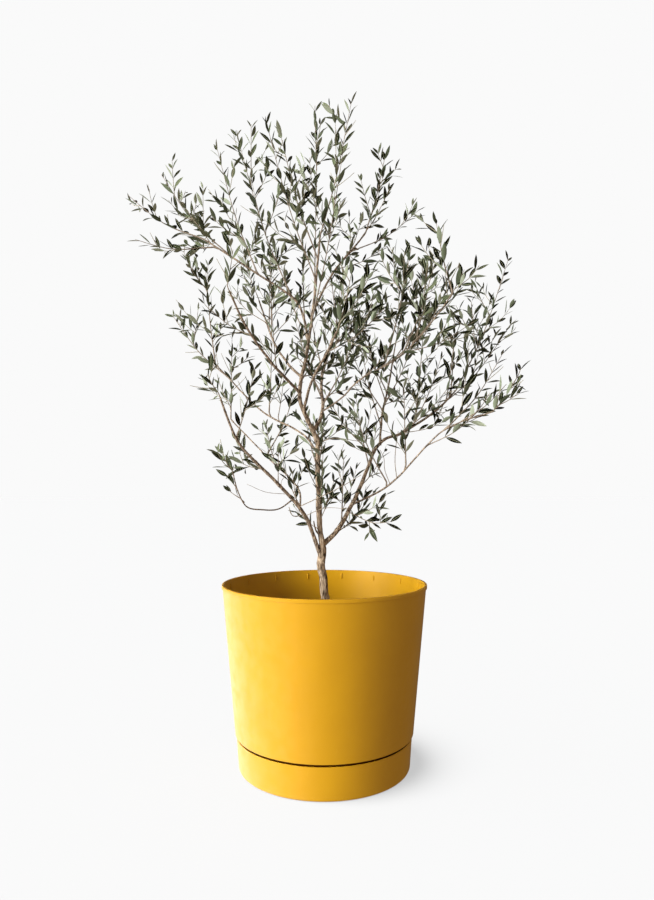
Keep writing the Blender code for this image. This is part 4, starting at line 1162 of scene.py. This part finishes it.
def tints_with_painted_shade(spray, chance):
    """The spray's top and underside tints, with painted shade: darker on the right and low down, paler high
    on the left.
    """
    shade = min(max(0.5 + SHADE_TO_RIGHT * spray.x + SHADE_WITH_HEIGHT * (spray.z - 1.0), 0.0), 1.0)
    picked = []
    for tints in (TOP_TINTS, UNDER_TINTS):
        steps = [index / (len(tints) - 1) - (0.75 - 0.6 * shade) for index in range(len(tints))]
        weights = [math.exp(-(step / TINT_SPREAD) ** 2) for step in steps]
        picked.append(chance.choices(range(len(tints)), weights)[0])
    return picked


def leaf_a_twig(body, crown, path, chance, first):
    """Opposite pairs of leaves along a twig, each square to the last, smaller towards its bud."""
    length = lengths_along(path)[-1]
    top, under = tints_with_painted_shade(path[-1], chance)
    at = first
    turn = chance.uniform(0.0, math.pi)
    while at < length + 0.001:
        foot, along = point_along(path, min(at / length, 1.0))
        young = min(YOUNGEST + (length - at) / YOUNG_LENGTH, 1.0)
        for side in (0, 1):
            lost = chance.random() < LEAF_LOST
            spread = LEAF_SPREAD * chance.uniform(*LEAF_SPREADS) * (0.55 + 0.45 * young)
            around = turn + math.pi * side + chance.uniform(-LEAF_TURN, LEAF_TURN)
            heading = side_direction(along, around, spread)
            heading = (heading + UP * chance.uniform(0.0, LEAF_RISE)).normalized()
            facing = along + UP * LEAF_FACING_UP + LIGHT_SIDE
            facing = Quaternion(heading, chance.gauss(0.0, LEAF_ROLL)) @ facing
            size = LEAF_LENGTH * chance.uniform(*LEAF_LENGTHS) * (0.35 + 0.65 * young)
            width = size * chance.uniform(*LEAF_WIDTHS)
            shape = (chance.uniform(*LEAF_FOLDS), chance.gauss(*LEAF_BEND), chance.gauss(*LEAF_TWIST))
            shift = chance.choice(TINT_SHIFTS)
            root = foot + along * chance.uniform(-LEAF_SHIFT, LEAF_SHIFT)
            tests = [root + heading * size * share for share in LEAF_TESTS]
            if lost or not crown.free(tests) or crown.crowded(tests[1]):
                continue
            tinted = min(max(top + shift, 0), len(TOP_TINTS) - 1)
            below = len(TOP_TINTS) + min(max(under + shift, 0), len(UNDER_TINTS) - 1)
            add_leaf(body, root, heading, facing, size, width, *shape, tinted, below)
        at += LEAF_SPACING * chance.uniform(*LEAF_SPACINGS) * (0.5 + 0.5 * young)
        turn += TURN_TO_NEXT_PAIR + chance.uniform(-PAIR_TURN, PAIR_TURN)


def twig_wood(body, path, base, tip, slot, sides=6):
    """A twig's wood, a little swollen at every third ring, as where leaves stand."""
    count = max(3, round(lengths_along(path)[-1] / TWIG_STEP))
    radii = [base + (tip - base) * (index / count) ** 0.8 for index in range(count + 1)]
    for index in range(0, count, 3):
        radii[index] *= SWELLING
    sweep(body, evenly(path, count), radii, sides, slot)


def zone_of(tip):
    """The piece that the foliage at a point of the crown belongs to."""
    x, _, z = tip
    if z > 1.16:
        return "top"
    if z < 0.77:
        return "low"
    return "left" if x < -0.13 else "right" if x > 0.12 else "middle"


def cut_short(path):
    """The part of a reach that is wood, in even steps: the rest is the last leaf."""
    length = lengths_along(path)[-1]
    return evenly(path, max(4, round(length / 0.006)), max(1.0 - 0.45 * LEAF_LENGTH / length, 0.3))


def grow(name, reach, twigs, twig_length, bare, crown, wood, leaves):
    """A leafy stem or shoot and its side twigs. The share `bare` of the stem carries no leaves."""
    chance = random.Random(f"{name} leaves")
    stem = cut_short(reach)
    long_one = lengths_along(stem)[-1] > LONG_STEM
    twig_wood(wood, stem, STEM_RADIUS if long_one else TWIG_RADIUS, TIP_RADIUS, 0 if long_one else 1)
    leaf_a_twig(leaves, crown, stem, chance, lengths_along(stem)[-1] * bare)
    for index, path in enumerate(side_twigs(Mass(name, "", 0.0, (), twigs, twig_length), reach)):
        bare_one = index in BARE_TWIGS.get(name, ())
        path = evenly(path, 6, BARE_SHARE) if bare_one else cut_short(path)
        if not crown.free(path[2:]):
            continue
        twig_wood(wood, path, SHOOT_RADIUS, TIP_RADIUS, 2, 5)
        if not bare_one:
            leaf_a_twig(leaves, crown, path, chance, FIRST_LEAF)


def zone_rows(paths):
    """For each zone of the crown, its masses' and shoots' rows for grow(), and its masses' names."""
    lines = dict(paths)
    rows = {}
    names = {}
    for mass in MASSES:
        lines[mass.name] = stem_path(mass, paths)
        row = (mass.name, lines[mass.name], mass.twigs, mass.twig_length, BARE_STEMS["mass"])
        rows.setdefault(zone_of(mass.tip), []).append(row)
        names.setdefault(zone_of(mass.tip), []).append(mass.name)
    for parent, share, tip, twigs in SHOOTS:
        reach = shoot_path(*point_along(lines[parent], share), Vector(tip))
        bare = BARE_STEMS["shoot on a mass" if parent.startswith("foliage") else "shoot on a limb"]
        row = (f"{parent} {share} {tip}", reach, twigs, SHOOT_TWIG_LENGTH, bare)
        rows.setdefault(zone_of(tip), []).append(row)
    return rows, names


def dress_foliage(paths, radii):
    leaf_looks = [leaf_look(f"leaf_top_{index}", tint, 0.50, gloss)
                  for index, (tint, gloss) in enumerate(zip(TOP_TINTS, TOP_GLOSS), 1)]
    leaf_looks += [leaf_look(f"leaf_under_{index}", tint, 0.76, 0.10, 0.08)
                   for index, tint in enumerate(UNDER_TINTS, 1)]
    leaf_looks.append(leaf_look("leaf_rib", RIB_TINT, 0.6, 0.4))
    wood_looks = [wood_look("stem_wood", STEM_TINT), wood_look("twig_wood", TWIG_TINT),
                  wood_look("shoot_wood", SHOOT_TINT)]
    crown = Crown(paths, radii)
    zones, names = zone_rows(paths)
    for zone, rows in zones.items():
        wood = Body()
        leaves = Body()
        for parent, share, radius, knots in THIN_TWIGS:
            if zone_of(knots[-1]) == zone:
                start, _ = point_along(paths[parent], share)
                twig_wood(wood, smooth_path((start, *knots)), radius, 0.6 * radius, 1)
        for row in rows:
            grow(*row, crown, wood, leaves)
        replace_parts(make_piece(f"twigs_{zone}", wood, wood_looks), *names[zone])
        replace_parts(make_piece(f"leaves_{zone}", leaves, leaf_looks), *names[zone])


# ---------------------------------------------------------------- studio


def sun(name, azimuth, elevation, strength, softness):
    """A soft distant light. Azimuth 0 stands behind the camera, and 90 to its left."""
    data = bpy.data.lights.new(name, "SUN")
    data.energy = strength
    data.angle = math.radians(softness)
    light = bpy.data.objects.new(name, data)
    a, e = math.radians(azimuth), math.radians(elevation)
    source = Vector((-math.sin(a) * math.cos(e), -math.cos(a) * math.cos(e), math.sin(e)))
    light.rotation_mode = "QUATERNION"
    light.rotation_quaternion = source.to_track_quat("Z", "Y")
    bpy.context.scene.collection.objects.link(light)
    return light


def build_floor():
    """A plain pale floor that glows as bright as the backdrop, and catches only a faint shadow."""
    mesh = bpy.data.meshes.new("studio_floor")
    corners = [(x * FLOOR_REACH, y * FLOOR_REACH, 0) for x, y in ((-1, -1), (1, -1), (1, 1), (-1, 1))]
    mesh.from_pydata(corners, [], [(0, 1, 2, 3)])
    look = Look("studio_floor", (FLOOR_ALBEDO,) * 3, 1.0, 0.0)
    look.set("Emission Color", FLOOR_TINT)
    look.set("Emission Strength", FLOOR_GLOW)
    mesh.materials.append(look.material)
    floor = bpy.data.objects.new("studio_floor", mesh)
    bpy.context.scene.collection.objects.link(floor)
    floor.visible_diffuse = False
    floor.visible_glossy = False
    floor.visible_shadow = False
    return floor


def build_world():
    """A pale sky: soft light for matt surfaces, a softbox on the left for glossy ones, a plain backdrop."""
    world = bpy.data.worlds.new("studio")
    sky = Nodes(world)
    sky.tree.nodes.clear()
    place = sky.add("TexCoord", {}, "Generated")
    axes = sky.add("SeparateXYZ", {"Vector": place}).node.outputs
    strength = sky.spread(axes["Z"], SKY_LOW, SKY_HIGH, *SKY_HEIGHTS)
    soft = sky.add("Background", {"Color": SKY_TINT, "Strength": strength})
    sides = sky.spread(axes["X"], 0.01, SOFTBOX_GLOSS, *SOFTBOX_SIDES)
    heights = sky.spread(axes["Z"], 0.06, 1.0, *SOFTBOX_HEIGHTS)
    softbox = sky.add("Math", {0: sides, 1: heights}, operation="MULTIPLY")
    behind = sky.spread(axes["Y"], 0.0, BACKDROP_GLOSS, *BACKDROP_DEPTHS)
    shine = sky.add("Background", {"Strength": sky.add("Math", {0: softbox, 1: behind})})
    seen = sky.add("Background", {"Color": BACKDROP})
    ray = sky.add("LightPath", {}).node.outputs
    lit = sky.add("MixShader", {"Fac": ray["Is Glossy Ray"], 1: soft, 2: shine})
    shown = sky.add("MixShader", {"Fac": ray["Is Camera Ray"], 1: lit, 2: seen})
    sky.put(sky.tree.nodes.new("ShaderNodeOutputWorld").inputs["Surface"], shown)
    bpy.context.scene.world = world


def build_lights(floor):
    """A key light for the part alone, and one for the floor alone, which only the saucer shades."""
    scene = bpy.context.scene
    key = sun("key_softbox", KEY_AZIMUTH, KEY_ELEVATION, KEY_STRENGTH, KEY_SOFTNESS)
    above = sun("floor_light", FLOOR_AZIMUTH, FLOOR_ELEVATION, FLOOR_SUN, FLOOR_SOFTNESS)
    key.visible_glossy = False
    groups = {name: bpy.data.collections.new(name) for name in ("part", "base", "ground")}
    for group in groups.values():
        scene.collection.children.link(group)
    for item in list(scene.objects):
        if item is floor:
            groups["ground"].objects.link(item)
        elif item.type == "MESH":
            groups["part"].objects.link(item)
            if item.name.startswith("saucer"):
                groups["base"].objects.link(item)
    key.light_linking.receiver_collection = groups["part"]
    above.light_linking.receiver_collection = groups["ground"]
    above.light_linking.blocker_collection = groups["base"]


def build_camera():
    data = bpy.data.cameras.new("camera")
    data.lens = LENS
    data.sensor_width = SENSOR
    data.dof.use_dof = False
    camera = bpy.data.objects.new("camera", data)
    camera.location = CAMERA_PLACE
    camera.rotation_euler = (math.radians(90) + CAMERA_RISE, 0.0, 0.0)
    bpy.context.scene.collection.objects.link(camera)
    bpy.context.scene.camera = camera


def main():
    paths, radii = limb_lines()
    dress_planter()
    dress_saucer()
    dress_soil()
    dress_limbs(paths, radii)
    dress_foliage(paths, radii)
    bpy.context.scene.view_settings.view_transform = "Standard"
    floor = build_floor()
    build_world()
    build_lights(floor)
    build_camera()
    bpy.context.view_layer.update()


main()
